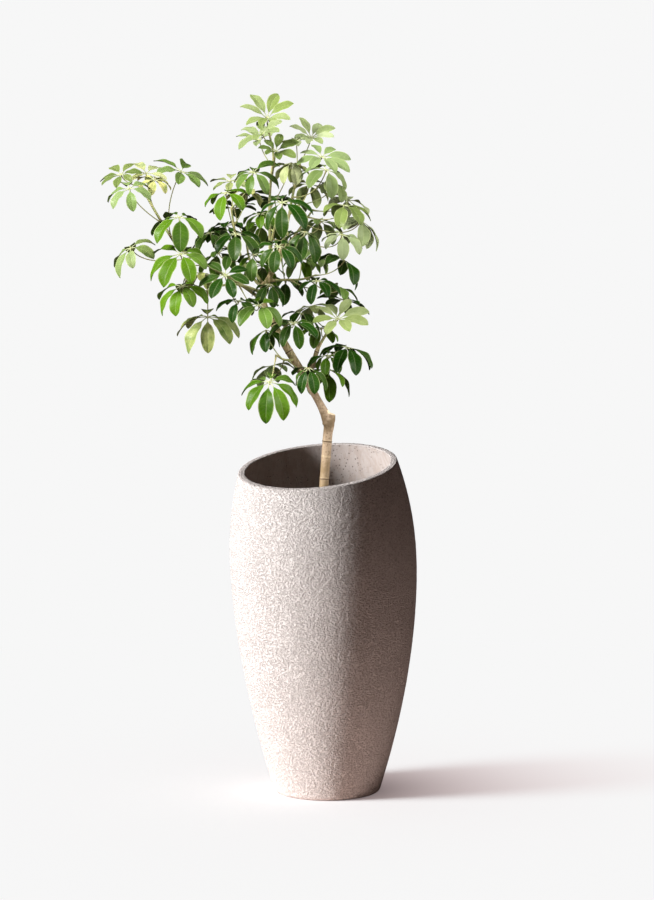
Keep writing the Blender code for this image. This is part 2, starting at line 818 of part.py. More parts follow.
def leaf_axes(leaf, start):
    """The leaf's axis, the level direction away from the stem, and the one across both."""
    up = Vector(leaf.up).normalized()
    away = Vector(leaf.hub) - start
    away = away - up * away.dot(up)
    if away.length < 0.002:
        away = up.orthogonal()
    away.normalize()
    return up, away, up.cross(away)


def outward_of(axes, angle):
    up, away, across = axes
    return away * math.cos(angle) + across * math.sin(angle)


def blade_sections(leaf, axes, angle, size, lift, roll, thicker=0.0):
    """The sections of one leaflet, each as left edge, top, right edge and bottom, and its tip.
    The blade is folded along its midrib and curves down to a blunt tip."""
    up = axes[0]
    outward = outward_of(axes, angle)
    length = leaf.size * size * (1.0 - FAR_GROWTH + FAR_GROWTH * math.cos(angle))
    first, bend = HABITS[leaf.habit]
    tilt = math.radians(first + lift)
    heading = outward * math.cos(tilt) + up * math.sin(tilt)
    crosswise = up.cross(outward)
    down = (-up - Vector((0, 0, 1))).normalized()
    half = length * min(BLADE_WIDTH, CROWDED_WIDTH / leaf.count) / 2
    centre = Vector(leaf.hub) + outward * HUB_RADIUS
    sections = []
    done = 0.0
    for share, width in SMALL_OUTLINE if leaf.size < SMALL_LEAF else BLADE_OUTLINE:
        step = share - done
        done = share
        turn = min(math.radians(bend) * step, heading.angle(down) * MOST_CURVE)
        bending = Quaternion(heading.cross(down).normalized(), turn / 2)
        heading = bending @ heading
        centre = centre + heading * length * step
        heading = bending @ heading
        if width == 0.0:
            return sections, centre
        level = (crosswise - heading * crosswise.dot(heading)).normalized()
        level = Quaternion(heading, math.radians(roll) * share) @ level
        normal = heading.cross(level)
        reach = level * (half * width + thicker)
        rise = normal * half * width * BLADE_FOLD
        thick = normal * (BLADE_THICK / 2 + thicker)
        sections.append(
            (centre + reach + rise, centre + thick, centre - reach + rise, centre - thick)
        )


def blade_faces(sections, low, tip):
    """Triangles along a blade whose first section starts at point low, out to its tip."""
    faces = []
    for _ in range(sections - 1):
        high = low + 4
        faces += [(low, low + 1, high + 1), (low, high + 1, high)]
        faces += [(low + 2, high + 1, low + 1), (low + 2, high + 2, high + 1)]
        faces += [(low + 2, low + 3, high + 3), (low + 2, high + 3, high + 2)]
        faces += [(low, high + 3, low + 3), (low, high, high + 3)]
        low = high
    faces += [(tip, low + number, low + (number + 1) % 4) for number in range(4)]
    return faces


def hub_block(leaf):
    """The plain outer shape of a leaf's hub, for finding what crosses it."""
    hub = Vector(leaf.hub)
    rise = Vector(leaf.up).normalized() * HUB_HALF_HEIGHT
    return tube([hub - rise, hub + rise], [HUB_RADIUS] * 2, LIMB_SIDES)


def loose_blade(leaf, axes, angle, size, lift, roll, thicker=0.0):
    """A blade closed at the hub's side, for finding what it would cross."""
    sections, tip = blade_sections(leaf, axes, angle, size, lift, roll, thicker)
    outward = outward_of(axes, angle)
    root = Vector(leaf.hub) + outward * HUB_RADIUS
    side = axes[0].cross(outward) * (NECK / 2 + thicker)
    rise = axes[0] * (NECK + thicker)
    sections.insert(0, (root + side, root + rise, root - side, root - rise))
    points = [point for section in sections for point in section] + [tip]
    faces = [(0, 2, 1), (0, 3, 2)] + blade_faces(len(sections), 0, len(points) - 1)
    return points, faces


def leaf_body(leaf, axes, blades):
    """A hub with one side for each leaflet, and each blade drawn out from its side."""
    up = axes[0]
    hub = Vector(leaf.hub)
    turns = [angle for angle, _ in blades]
    points = []
    for low, high in zip([turns[-1] - math.tau, *turns], turns):
        corner = outward_of(axes, (low + high) / 2) * HUB_RADIUS
        points += [hub + corner + up * HUB_HALF_HEIGHT, hub + corner - up * HUB_HALF_HEIGHT]
    count = len(blades)
    faces = [tuple(range(0, 2 * count, 2)), tuple(range(2 * count - 1, 0, -2))]
    for number, (_, shape) in enumerate(blades):
        after = (number + 1) % count
        ring = (2 * after, 2 * number, 2 * number + 1, 2 * after + 1)
        if shape is None:
            faces.append(ring)
            continue
        sections, tip = shape
        low = len(points)
        points += [point for section in sections for point in section] + [tip]
        for corner in range(4):
            before = ring[corner - 1]
            faces += [(before, ring[corner], low + corner)]
            faces += [(ring[corner], low + (corner + 1) % 4, low + corner)]
        faces += blade_faces(len(sections), low, len(points) - 1)
    return points, faces


class Neighbours:
    """The pieces placed so far, by shoot, and what a new piece would cross."""

    def __init__(self):
        self.rows = []

    def add(self, owner, piece):
        points, faces = piece
        low = np.min([tuple(point) for point in points], axis=0)
        high = np.max([tuple(point) for point in points], axis=0)
        self.rows.append((owner, low, high, BVHTree.FromPolygons(points, faces)))

    def crossed(self, piece):
        """The owners of the pieces that this one crosses."""
        points, faces = piece
        low = np.min([tuple(point) for point in points], axis=0)
        high = np.max([tuple(point) for point in points], axis=0)
        tree = None
        owners = []
        for owner, other_low, other_high, other_tree in self.rows:
            if (low > other_high).any() or (high < other_low).any():
                continue
            tree = tree or BVHTree.FromPolygons(points, faces)
            if tree.overlap(other_tree):
                owners.append(owner)
        return owners


BOWS = [Vector((0, 0, 0))] + [
    Vector((math.cos(turn), math.sin(turn), 0)) * reach
    for reach in (0.010, 0.020, 0.032)
    for turn in np.arange(0, math.tau, math.tau / 6)
]
# Turns and lifts in degrees, and a share of the length, tried in this order
NUDGES = [(0, 0, 1.0)] + [
    (turn, lift, share)
    for share in (1.0, 0.86, 0.72)
    for lift in (0, 12, -12, 24, -24)
    for turn in (0, 6, -6, 12, -12)
]


def place_stalks(shoot, route, neighbours):
    """The leaf stalks of a shoot, bowed clear of other shoots."""
    rows = []
    for number, leaf in enumerate(shoot.leaves):
        share = FIRST_LEAF_ALONG
        if len(shoot.leaves) > 1:
            share += (1.0 - FIRST_LEAF_ALONG) * number / (len(shoot.leaves) - 1)
        start = along(route, share)
        for bow in BOWS:
            curve = stalk_route(start, leaf, bow)
            others = neighbours.crossed(stalk(curve, CLEARANCE))
            if all(owner == shoot.name for owner in others):
                break
        neighbours.add(shoot.name, stalk(curve))
        neighbours.add(shoot.name, hub_block(leaf))
        rows.append((leaf, start, stalk(curve)))
    return rows


def fitted_row(leaf, axes, row, own, neighbours):
    """The first turn, lift and length of a leaflet that clears other shoots and its own leaf,
    and the rest of its shoot too where one does. None where nothing clears."""
    angle, size, lift, roll = row
    shoot_name = own.split("/")[0]
    second_best = None
    for turn, more, share in NUDGES:
        tried = (angle + math.radians(turn), size * share, lift + more, roll)
        owners = neighbours.crossed(loose_blade(leaf, axes, *tried, CLEARANCE))
        if any(name == own or not name.startswith(shoot_name) for name in owners):
            continue
        if not any(name.startswith(shoot_name + "/") for name in owners):
            return tried
        second_best = second_best or tried
    return second_best


def place_leaves(shoot, rows, first_number, neighbours):
    """The leaves of a shoot, each leaflet fitted clear of what it would cross."""
    bodies = []
    for offset, (leaf, start, _) in enumerate(rows):
        rng = random.Random(LEAF_SEED + first_number + offset)
        axes = leaf_axes(leaf, start)
        own = f"{shoot.name}/{offset}"
        blades = []
        for row in leaflet_rows(leaf, rng):
            fitted = fitted_row(leaf, axes, row, own, neighbours)
            if fitted:
                neighbours.add(own, loose_blade(leaf, axes, *fitted))
                blades.append((fitted[0], blade_sections(leaf, axes, *fitted)))
            else:
                blades.append((row[0], None))
        bodies.append(leaf_body(leaf, axes, blades))
    return bodies


def make_shoots():
    leaf_green = make_material("leaf_green", (0.13, 0.25, 0.07), 0.45)
    neighbours = Neighbours()
    for piece in trunk_pieces():
        neighbours.add("trunk", piece)
    stems = {shoot.name: stem_of(shoot) for shoot in SHOOTS}
    for shoot in SHOOTS:
        neighbours.add(shoot.name, stems[shoot.name][1])
    stalks = {
        shoot.name: place_stalks(shoot, stems[shoot.name][0], neighbours) for shoot in SHOOTS
    }
    number = 0
    for shoot in SHOOTS:
        pieces = [stems[shoot.name][1]]
        pieces += [piece for _, _, piece in stalks[shoot.name]]
        pieces += place_leaves(shoot, stalks[shoot.name], number, neighbours)
        number += len(shoot.leaves)
        shade_round(join_all(shoot.name, pieces, leaf_green))


def main():
    clear_scene()
    make_pot()
    make_soil()
    make_trunk()
    make_shoots()


main()
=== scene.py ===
"""Looks for the potted umbrella tree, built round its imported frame.

Metres, +Z up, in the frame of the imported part, with the camera on the -Y side. The shoots
are laid out by the same rule as their solids, and then made again with fine leaflets,
stalks and stems. The pot, the soil and the trunk are made again with their fine relief.
"""

import json
import math
import random
from collections import namedtuple

import bpy
import numpy as np
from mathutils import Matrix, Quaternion, Vector, noise
from mathutils.bvhtree import BVHTree
from mathutils.kdtree import KDTree

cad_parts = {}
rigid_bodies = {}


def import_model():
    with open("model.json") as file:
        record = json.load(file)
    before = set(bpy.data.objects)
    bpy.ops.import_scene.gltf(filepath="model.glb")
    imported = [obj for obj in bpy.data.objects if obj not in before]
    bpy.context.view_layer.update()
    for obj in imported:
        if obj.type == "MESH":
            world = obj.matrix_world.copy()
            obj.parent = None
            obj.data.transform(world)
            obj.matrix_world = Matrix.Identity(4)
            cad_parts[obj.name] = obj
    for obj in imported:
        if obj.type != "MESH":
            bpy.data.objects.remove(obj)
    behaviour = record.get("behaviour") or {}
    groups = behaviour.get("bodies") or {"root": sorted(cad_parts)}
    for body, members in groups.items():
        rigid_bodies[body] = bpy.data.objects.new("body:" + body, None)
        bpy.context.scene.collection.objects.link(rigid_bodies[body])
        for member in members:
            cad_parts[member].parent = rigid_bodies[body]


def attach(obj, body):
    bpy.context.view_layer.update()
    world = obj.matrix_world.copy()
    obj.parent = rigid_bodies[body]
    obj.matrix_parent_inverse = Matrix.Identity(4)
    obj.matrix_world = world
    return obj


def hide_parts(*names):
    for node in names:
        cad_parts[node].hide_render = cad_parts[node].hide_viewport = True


# Edges that turn by more than this many degrees are drawn sharp, unless a piece has its own
SHARP_ANGLE = 50.0

# Pot, as in the solids
POT_WIDEST_RADIUS = 0.1655
POT_WIDEST_HEIGHT = 0.410
POT_FOOT_RADIUS = 0.0935
POT_RIM_RADIUS = 0.140
POT_RIM_HEIGHT = 0.584
POT_LOWER_POWER = 1.8
POT_UPPER_POWER = 2.1
POT_LEAN = -0.013
RIM_SLOPE_X = 0.092
RIM_SLOPE_Y = 0.223
WALL = 0.012
FLOOR = 0.020
FOOT_EDGE = 0.006
DRAIN_RADIUS = 0.007
DRAIN_REACH = 0.045
DRAIN_COUNT = 3
INNER_HEIGHTS = (0.470, 0.360, 0.245, 0.130, FLOOR)

# Pot, fine shape
FINE_POT_SIDES = 400
FINE_WALL_ROWS = 176
FINE_INNER_ROWS = 22
FINE_LIP_ROWS = 9
FINE_FOOT_ROWS = 4
DRAIN_SIDES = 32
LIP_EDGE = 0.0022
LIP_SHARE = 0.985
INNER_SHARE = 0.90
# Share of the way over the lip from which it turns into the inner wall
LIP_INSIDE_FROM = 0.6
RIM_ROUNDS = 8
DRAIN_TURN = 0.25
POT_SHARP_ANGLE = 60.0

# The relief of the cast stone: ridges with finer grains, bent by a slower noise
RELIEF_SEED = 12
RELIEF_DEPTH = 0.0007
RELIEF_SCALE = 190.0
RELIEF_STRETCH = 1.7
RELIEF_BASE = 0.15
RIDGE_SHARE = 0.62
RIDGE_SHARPNESS = 2.2
GRAIN_SHARE = 0.35
GRAIN_SCALE = 2.1
BEND_SCALE = 0.35
BEND_DEPTH = 1.6
# Share of the height in which the relief rises to its full depth over the foot
RELIEF_EASE = 0.02

# Soil
SOIL_HEIGHT = 0.480
SOIL_WAVE = 0.0035
COARSE_WAVES = (61.0, 53.0)
FINE_WAVES = (113.0, 97.0)
MOUND_HEIGHT = 0.006
MOUND_SPREAD = 0.060
SEAT = 0.0003
SOIL_SIDES = 120
SOIL_ROWS = 44
SOIL_EDGE = 0.995
SOIL_SHARP_ANGLE = 40.0
# Scale and height of the noises that make the soil crumbly
CRUMB_NOISES = ((260.0, 0.0016), (90.0, 0.0015))

# Bark and grit on the soil: the low and high end of each random draw
SOIL_CHIPS = 620
CHIP_SEED = 77
CHIP_CORNERS = (0.62, 1.0)
CHIP_REACHES = (0.012, 0.90)
CHIP_LENGTHS = (0.0018, 0.0052)
CHIP_WIDTHS = (0.5, 0.9)
CHIP_HEIGHTS = (0.3, 0.6)
CHIP_TONES = (0.15, 1.0)
CHIP_TILT = 0.25
CHIP_LIFT = 0.001

# Wood
TRUNK_FOOT_DEPTH = 0.055
TRUNK_FOOT_LEAN = (0.0008, 0, 0.006)
KNUCKLE_HEIGHT = 0.660
KNUCKLE_SWELL = 0.0022
KNUCKLE_SPREAD = 0.012
COLLAR_REACH = 0.012
COLLAR_SWELLS = (1.35, 1.10)
COLLAR_SIDES = 6
TRUNK_SIDES = 9
TRUNK_STEP = 0.020
LIMB_SIDES = 7
LIMB_STEP = 0.014
FINE_WOOD_STEP = 0.004
FINE_WOOD_SIDES = 24
WOOD_VOXEL = 0.0010
WOOD_SMOOTHING = 6
SMOOTHING_SHARE = 0.5
BARK_SHARP_ANGLE = 180.0
# Scale and share of the noises that roughen the bark, and how high they raise it
BARK_NOISES = ((170.0, 0.5), (480.0, 0.3))
BARK_GRAIN = 0.00030
# Heights between which the bark turns green
GREEN_FROM = 0.725
GREEN_TO = 0.790
# The pruned face: how far it reaches, and where its edge lies along the stub
CUT_REACH = 0.0085
CUT_EDGE = (-0.0012, -0.0002)
# Height and depth of each ring scar
RING_SCARS = (
    (0.500, 0.9),
    (0.521, 0.7),
    (0.556, 1.2),
    (0.596, 0.55),
    (0.6225, 1.0),
    (0.712, 0.6),
    (0.748, 1.0),
    (0.781, 0.8),
    (0.806, 1.0),
    (0.836, 0.8),
)
RING_HEIGHT = 0.00060
RING_SPREAD = 0.0017
RING_WOBBLE = 0.0012
RING_WOBBLE_SCALE = 60.0

# Green stems and leaf stalks, as in the solids
STEM_SIDES = 5
STEM_STEP = 0.020
STEM_TIP = 0.62
FIRST_LEAF_ALONG = 0.38
STALK_RADIUS = 0.0012
STALK_SIDES = 3
STALK_STEPS = 3
STALK_SWELLS = (1.4, 1.2)
STALK_BEND = 0.42
HUB_RADIUS = 0.0025
HUB_HALF_HEIGHT = 0.0009
LEAST_AWAY = 0.002
BOW_REACHES = (0.010, 0.020, 0.032)
BOW_TURNS = 6

# Fine stems and stalks
FINE_STEM_SIDES = 14
FINE_STEM_STEP = 0.0025
NODE_SPACING = 0.011
NODE_SWELL = 0.10
NODE_SHARPNESS = 8
# The bud at a stem's tip: distance past the stem's end, and share of its radius
BUD_ROWS = ((0.0012, 0.88), (0.0022, 0.62), (0.0030, 0.22))
FINE_STALK_SIDES = 8
FINE_STALK_STEPS = 16
STALK_SLIMNESS = 0.76
STALK_FOOT_SWELL = 0.9
STALK_FOOT_SPREAD = 0.07
STALK_TOP_SWELL = 0.8
STALK_TOP_SPREAD = 0.06
STALK_PALE_POWER = 3
HUB_ROWS = 6
HUB_SIDES = 10
HUB_RISE = 1.5
HUB_SHARE = 0.95
HUB_LEAST = 0.15

# Leaflets, as in the solids: lengths in metres, angles in degrees, the rest are shares
LEAF_SEED = 4100
BLADE_WIDTH = 0.44
CROWDED_WIDTH = 3.0
BLADE_THICK = 0.0015
BLADE_FOLD = 0.20
BLADE_ROLL = 10.0
NECK = 0.0006
SMALL_LEAF = 0.0595
FAR_GROWTH = 0.11
MOST_CURVE = 0.8
TURN_SPREAD = 0.09
LIFT_SPREAD = 13.0
ROLL_SPREAD = 12.0
LEAST_SIZE = 0.88
MOST_SIZE = 1.06
CLEARANCE = 0.0005
# Shares of the length, and lifts and turns in degrees, tried in this order to clear others
NUDGE_SHARES = (1.0, 0.86, 0.72)
NUDGE_LIFTS = (0, 12, -12, 24, -24)
NUDGE_TURNS = (0, 6, -6, 12, -12)

# Leaflets, fine shape
FINE_STATIONS = 20
FINE_ACROSS = (-1.0, -0.80, -0.50, -0.18, 0.0, 0.18, 0.50, 0.80, 1.0)
RING_ACROSS = FINE_ACROSS + FINE_ACROSS[-2:0:-1]
RING_SIDES = len(RING_ACROSS)
FINE_HALF_THICK = 0.00028
STALKLET_RADIUS = 0.0008
STALKLET_END = 0.14
STALKLET_ROOT = 0.3
BLADE_EASE = 0.12
MIDRIB_DEPTH = 0.0005
MIDRIB_SPREAD = 0.10
KEEL_DEPTH = 0.00035
KEEL_SPREAD = 0.12
EDGE_WAVE = 0.10
EDGE_WAVE_SIZES = (0.5, 1.3)
EDGE_WAVES = 2.3
FOLD_POWER = 1.35

# Half width of a leaflet along its length, both as shares
FINE_OUTLINE = (
    (0.00, 0.02),
    (0.12, 0.03),
    (0.17, 0.18),
    (0.25, 0.43),
    (0.35, 0.70),
    (0.46, 0.90),
    (0.57, 0.98),
    (0.68, 0.96),
    (0.78, 0.85),
    (0.87, 0.66),
    (0.94, 0.41),
    (0.98, 0.19),
    (1.00, 0.03),
)

# How a leaf holds its leaflets: the angle that they start at above the leaf's plane,
# and how far they have curved down at the tip, in degrees
HABITS = {
    "grown": (4.0, 74.0),
    "flat": (14.0, 44.0),
    "young": (34.0, 46.0),
    "hanging": (-22.0, 66.0),
}

# Share of the blade's length, and share of its half width, out to the tip
BLADE_OUTLINE = ((0.14, 0.10), (0.50, 0.94), (0.81, 0.84), (1.0, 0.0))
SMALL_OUTLINE = ((0.44, 0.84), (0.80, 0.86), (1.0, 0.0))

Leaf = namedtuple("Leaf", "hub up size count habit", defaults=("grown",))
Shoot = namedtuple("Shoot", "name root route radius leaves")

# Middle of the trunk from the soil up, and its radius there
TRUNK_ROUTE = (
    ((-0.011, 0.000, 0.484), 0.0088),
    ((-0.007, 0.000, 0.525), 0.0083),
    ((-0.003, 0.000, 0.578), 0.0082),
    ((0.001, 0.000, 0.631), 0.0084),
    ((0.003, 0.000, 0.655), 0.0086),
    ((-0.007, -0.001, 0.678), 0.0074),
    ((-0.016, -0.002, 0.695), 0.0066),
    ((-0.034, -0.006, 0.727), 0.0071),
    ((-0.052, -0.008, 0.757), 0.0072),
    ((-0.072, -0.008, 0.790), 0.0070),
    ((-0.090, -0.005, 0.822), 0.0065),
    ((-0.106, 0.000, 0.850), 0.0061),
    ((-0.113, 0.005, 0.873), 0.0057),
    ((-0.111, 0.008, 0.894), 0.0055),
    ((-0.101, 0.010, 0.913), 0.0049),
    ((-0.090, 0.010, 0.935), 0.0043),
    ((-0.083, 0.008, 0.955), 0.0038),
)
SECOND_LIMB = (
    ((-0.038, -0.006, 0.734), 0.0058),
    ((-0.030, -0.008, 0.748), 0.0050),
    ((-0.024, -0.011, 0.761), 0.0046),
    ((-0.020, -0.014, 0.775), 0.0042),
    ((-0.016, -0.016, 0.787), 0.0038),
)
PRUNED_STUB = (
    ((0.001, 0.000, 0.650), 0.0088),
    ((0.004, -0.001, 0.661), 0.0086),
    ((0.007, -0.002, 0.672), 0.0074),
)
LIMBS = (TRUNK_ROUTE, SECOND_LIMB, PRUNED_STUB)

SHOOTS = (
    Shoot(
        "shoot_far_left",
        (-0.113, 0.002, 0.871),
        (
            (-0.152, -0.025, 0.899), (-0.203, -0.055, 0.929), (-0.252, -0.075, 0.958),
            (-0.283, -0.065, 1.001), (-0.311, -0.045, 1.047), (-0.322, -0.035, 1.068),
        ),
        0.0031,
        (
            Leaf((-0.249, -0.120, 0.948), (0.0, -0.7, 0.9), 0.070, 7),
            Leaf((-0.340, -0.060, 0.960), (-0.5, -0.6, 0.8), 0.058, 6),
            Leaf((-0.252, -0.105, 1.011), (0.1, -0.4, 1.0), 0.071, 7),
            Leaf((-0.259, 0.045, 1.100), (0.6, -0.5, 1.0), 0.060, 6, "flat"),
            Leaf((-0.340, -0.080, 1.061), (-0.2, -0.6, 0.8), 0.054, 6),
            Leaf((-0.318, 0.012, 1.094), (0.0, -0.6, 1.0), 0.046, 6, "flat"),
            Leaf((-0.300, -0.030, 1.080), (0.2, -0.5, 1.0), 0.042, 6),
            Leaf((-0.360, -0.015, 1.090), (-0.3, -0.7, 1.0), 0.044, 7, "flat"),
        ),
    ),
    Shoot(
        "shoot_left_front",
        (-0.112, 0.000, 0.882),
        (
            (-0.134, -0.032, 0.892), (-0.159, -0.060, 0.898), (-0.188, -0.072, 0.894),
            (-0.206, -0.074, 0.886),
        ),
        0.0027,
        (
            Leaf((-0.100, -0.052, 0.898), (0.1, -0.4, 1.0), 0.052, 6, "hanging"),
            Leaf((-0.116, -0.112, 0.861), (0.1, -0.5, 0.9), 0.061, 6),
            Leaf((-0.173, -0.135, 0.912), (0.0, -0.8, 0.6), 0.050, 7, "flat"),
            Leaf((-0.152, -0.100, 0.868), (0.0, -0.4, 0.9), 0.047, 6),
            Leaf((-0.221, 0.030, 0.919), (0.0, 0.3, 1.0), 0.047, 6),
            Leaf((-0.250, -0.085, 0.894), (-0.2, -0.6, 1.0), 0.068, 7),
            Leaf((-0.207, -0.060, 0.841), (0.0, -0.5, 0.9), 0.076, 8),
        ),
    ),
    Shoot(
        "shoot_centre_left",
        (-0.112, 0.007, 0.890),
        (
            (-0.128, 0.006, 0.908), (-0.146, 0.005, 0.935), (-0.158, 0.004, 0.970),
            (-0.165, 0.000, 1.010), (-0.168, -0.005, 1.032),
        ),
        0.0027,
        (
            Leaf((-0.157, -0.072, 0.984), (0.0, -0.5, 0.9), 0.058, 7),
            Leaf((-0.207, 0.020, 0.990), (-0.3, -0.4, 1.0), 0.054, 6),
            Leaf((-0.181, 0.055, 1.005), (-0.1, 0.2, 1.0), 0.054, 7),
            Leaf((-0.175, -0.062, 1.055), (-0.1, -0.4, 0.9), 0.054, 6),
            Leaf((-0.143, 0.060, 1.066), (0.1, 0.2, 1.0), 0.047, 6),
            Leaf((-0.172, 0.060, 1.084), (-0.1, -0.4, 1.0), 0.046, 6, "flat"),
            Leaf((-0.129, -0.030, 1.093), (0.0, -0.7, 1.0), 0.056, 8),
        ),
    ),
    Shoot(
        "shoot_top",
        (-0.094, 0.010, 0.927),
        (
            (-0.100, 0.012, 0.952), (-0.101, 0.012, 0.993), (-0.101, 0.010, 1.045),
            (-0.098, 0.005, 1.089), (-0.094, 0.000, 1.123), (-0.100, -0.005, 1.158),
            (-0.104, -0.005, 1.180),
        ),
        0.0028,
        (
            Leaf((-0.066, 0.036, 1.108), (0.2, 0.4, 1.0), 0.042, 6),
            Leaf((-0.089, -0.045, 1.128), (0.1, -0.9, 1.0), 0.042, 7, "young"),
            Leaf((-0.120, 0.045, 1.155), (-0.2, -0.5, 1.0), 0.045, 7, "young"),
            Leaf((-0.112, -0.040, 1.158), (-0.4, -0.7, 1.0), 0.050, 6, "young"),
            Leaf((-0.105, -0.003, 1.190), (0.0, -1.0, 1.0), 0.054, 8, "young"),
        ),
    ),
    Shoot(
        "shoot_upper_right",
        (-0.083, 0.008, 0.955),
        (
            (-0.075, 0.014, 0.985), (-0.068, 0.019, 1.016), (-0.062, 0.020, 1.049),
            (-0.055, 0.015, 1.079), (-0.047, 0.004, 1.112),
        ),
        0.0028,
        (
            Leaf((-0.032, 0.080, 1.080), (0.1, 0.4, 1.0), 0.051, 7),
            Leaf((0.014, 0.000, 1.076), (0.4, 0.0, 1.0), 0.048, 6),
            Leaf((-0.001, -0.088, 1.093), (0.3, -0.4, 0.9), 0.058, 6),
            Leaf((-0.062, -0.040, 1.108), (0.0, -0.4, 1.0), 0.044, 6, "hanging"),
            Leaf((-0.055, 0.068, 1.156), (-0.1, -0.4, 1.0), 0.043, 6, "flat"),
            Leaf((-0.009, -0.048, 1.118), (0.3, -0.9, 1.0), 0.054, 8, "flat"),
            Leaf((-0.028, 0.015, 1.157), (0.2, -0.9, 1.0), 0.048, 8, "young"),
        ),
    ),
    Shoot(
        "shoot_right",
        (-0.086, 0.009, 0.946),
        (
            (-0.068, 0.020, 0.970), (-0.054, 0.028, 0.990), (-0.040, 0.035, 1.010),
            (-0.026, 0.040, 1.031),
        ),
        0.0026,
        (
            Leaf((0.026, -0.040, 0.984), (0.2, -0.4, 0.9), 0.051, 7),
            Leaf((-0.012, 0.098, 1.014), (0.1, 0.4, 1.0), 0.054, 7),
            Leaf((0.060, 0.020, 1.011), (0.5, -0.1, 0.9), 0.066, 6),
            Leaf((0.030, -0.018, 1.036), (0.2, -0.3, 1.0), 0.058, 7),
            Leaf((0.038, 0.062, 1.050), (0.4, 0.3, 1.0), 0.054, 6),
        ),
    ),
    Shoot(
        "shoot_front",
        (-0.100, 0.010, 0.916),
        (
            (-0.100, -0.018, 0.935), (-0.098, -0.042, 0.956), (-0.094, -0.064, 0.980),
            (-0.088, -0.080, 1.004),
        ),
        0.0026,
        (
            Leaf((-0.126, -0.090, 0.948), (-0.1, -0.5, 0.9), 0.049, 6),
            Leaf((-0.083, -0.140, 0.960), (0.0, -0.6, 0.8), 0.056, 7),
            Leaf((-0.038, -0.066, 0.988), (0.2, -0.4, 0.9), 0.058, 7, "hanging"),
            Leaf((-0.115, -0.045, 1.020), (-0.1, -0.3, 1.0), 0.047, 6),
            Leaf((-0.076, -0.130, 1.035), (-0.1, -0.5, 0.8), 0.068, 8),
        ),
    ),
    Shoot(
        "shoot_mid_right",
        (-0.104, 0.009, 0.906),
        (
            (-0.074, 0.010, 0.907), (-0.046, 0.013, 0.908), (-0.021, 0.010, 0.915),
        ),
        0.0024,
        (
            Leaf((-0.018, -0.038, 0.904), (0.0, -0.4, 1.0), 0.050, 7),
            Leaf((-0.046, 0.062, 0.945), (0.0, 0.3, 1.0), 0.049, 6),
            Leaf((0.022, 0.040, 0.894), (0.4, 0.3, 0.9), 0.051, 6),
            Leaf((0.030, -0.030, 0.940), (0.5, -0.1, 0.9), 0.064, 5),
        ),
    ),
    Shoot(
        "shoot_second_limb",
        (-0.016, -0.016, 0.787),
        (
            (-0.008, -0.019, 0.801), (0.002, -0.022, 0.817), (0.011, -0.025, 0.834),
        ),
        0.0026,
        (
            Leaf((-0.010, 0.042, 0.822), (0.0, 0.4, 1.0), 0.049, 6),
            Leaf((-0.030, 0.015, 0.860), (-0.2, 0.1, 1.0), 0.049, 6),
            Leaf((0.030, 0.018, 0.872), (0.2, 0.2, 1.0), 0.054, 6, "flat"),
            Leaf((0.019, -0.040, 0.838), (0.1, -0.8, 1.0), 0.058, 8, "young"),
        ),
    ),
    Shoot(
        "shoot_low_left",
        (-0.058, -0.008, 0.766),
        (
            (-0.066, -0.034, 0.766), (-0.076, -0.056, 0.768), (-0.088, -0.070, 0.775),
        ),
        0.0024,
        (
            Leaf((-0.033, -0.064, 0.753), (0.1, -0.4, 0.9), 0.051, 7, "hanging"),
            Leaf((-0.098, 0.020, 0.755), (-0.3, 0.2, 1.0), 0.051, 6),
            Leaf((-0.106, -0.060, 0.818), (-0.2, -0.2, 1.0), 0.054, 6, "hanging"),
            Leaf((-0.099, -0.094, 0.729), (0.0, -0.6, 0.8), 0.073, 8),
        ),
    ),
    Shoot(
        "shoot_low_right",
        (-0.029, -0.008, 0.751),
        (
            (-0.012, 0.012, 0.758), (0.001, 0.024, 0.768), (0.013, 0.026, 0.779),
        ),
        0.0024,
        (
            Leaf((0.002, 0.056, 0.748), (0.1, 0.4, 0.9), 0.064, 6, "hanging"),
            Leaf((0.000, -0.026, 0.774), (0.0, -0.5, 0.9), 0.044, 6),
            Leaf((0.036, -0.012, 0.788), (0.2, -0.2, 1.0), 0.068, 8),
        ),
    ),
    Shoot(
        "shoot_inner_front",
        (-0.083, -0.006, 0.810),
        (
            (-0.075, -0.030, 0.822), (-0.066, -0.052, 0.830),
        ),
        0.0024,
        (
            Leaf((-0.045, -0.018, 0.848), (0.2, 0.0, 1.0), 0.049, 6),
            Leaf((-0.058, -0.092, 0.831), (0.0, -0.4, 0.9), 0.058, 8),
        ),
    ),
    Shoot(
        "shoot_back_left",
        (-0.112, 0.009, 0.898),
        (
            (-0.128, 0.040, 0.922), (-0.140, 0.070, 0.950), (-0.146, 0.095, 0.982),
        ),
        0.0026,
        (
            Leaf((-0.118, 0.098, 0.935), (0.1, 0.4, 0.9), 0.054, 7),
            Leaf((-0.196, 0.100, 0.958), (-0.4, 0.2, 0.9), 0.056, 7),
            Leaf((-0.120, 0.132, 1.010), (0.1, 0.4, 0.9), 0.056, 7),
            Leaf((-0.168, 0.130, 1.040), (-0.1, 0.2, 1.0), 0.054, 7, "flat"),
        ),
    ),
    Shoot(
        "shoot_back_right",
        (-0.095, 0.011, 0.924),
        (
            (-0.085, 0.042, 0.940), (-0.076, 0.072, 0.962), (-0.070, 0.096, 0.992),
        ),
        0.0026,
        (
            Leaf((-0.074, 0.098, 0.908), (0.0, 0.4, 0.9), 0.051, 7),
            Leaf((-0.024, 0.112, 0.958), (0.4, 0.3, 0.9), 0.054, 7),
            Leaf((-0.072, 0.150, 0.994), (0.1, 0.4, 0.9), 0.054, 7),
            Leaf((-0.094, 0.108, 1.056), (0.0, 0.2, 1.0), 0.054, 7, "flat"),
        ),
    ),
)


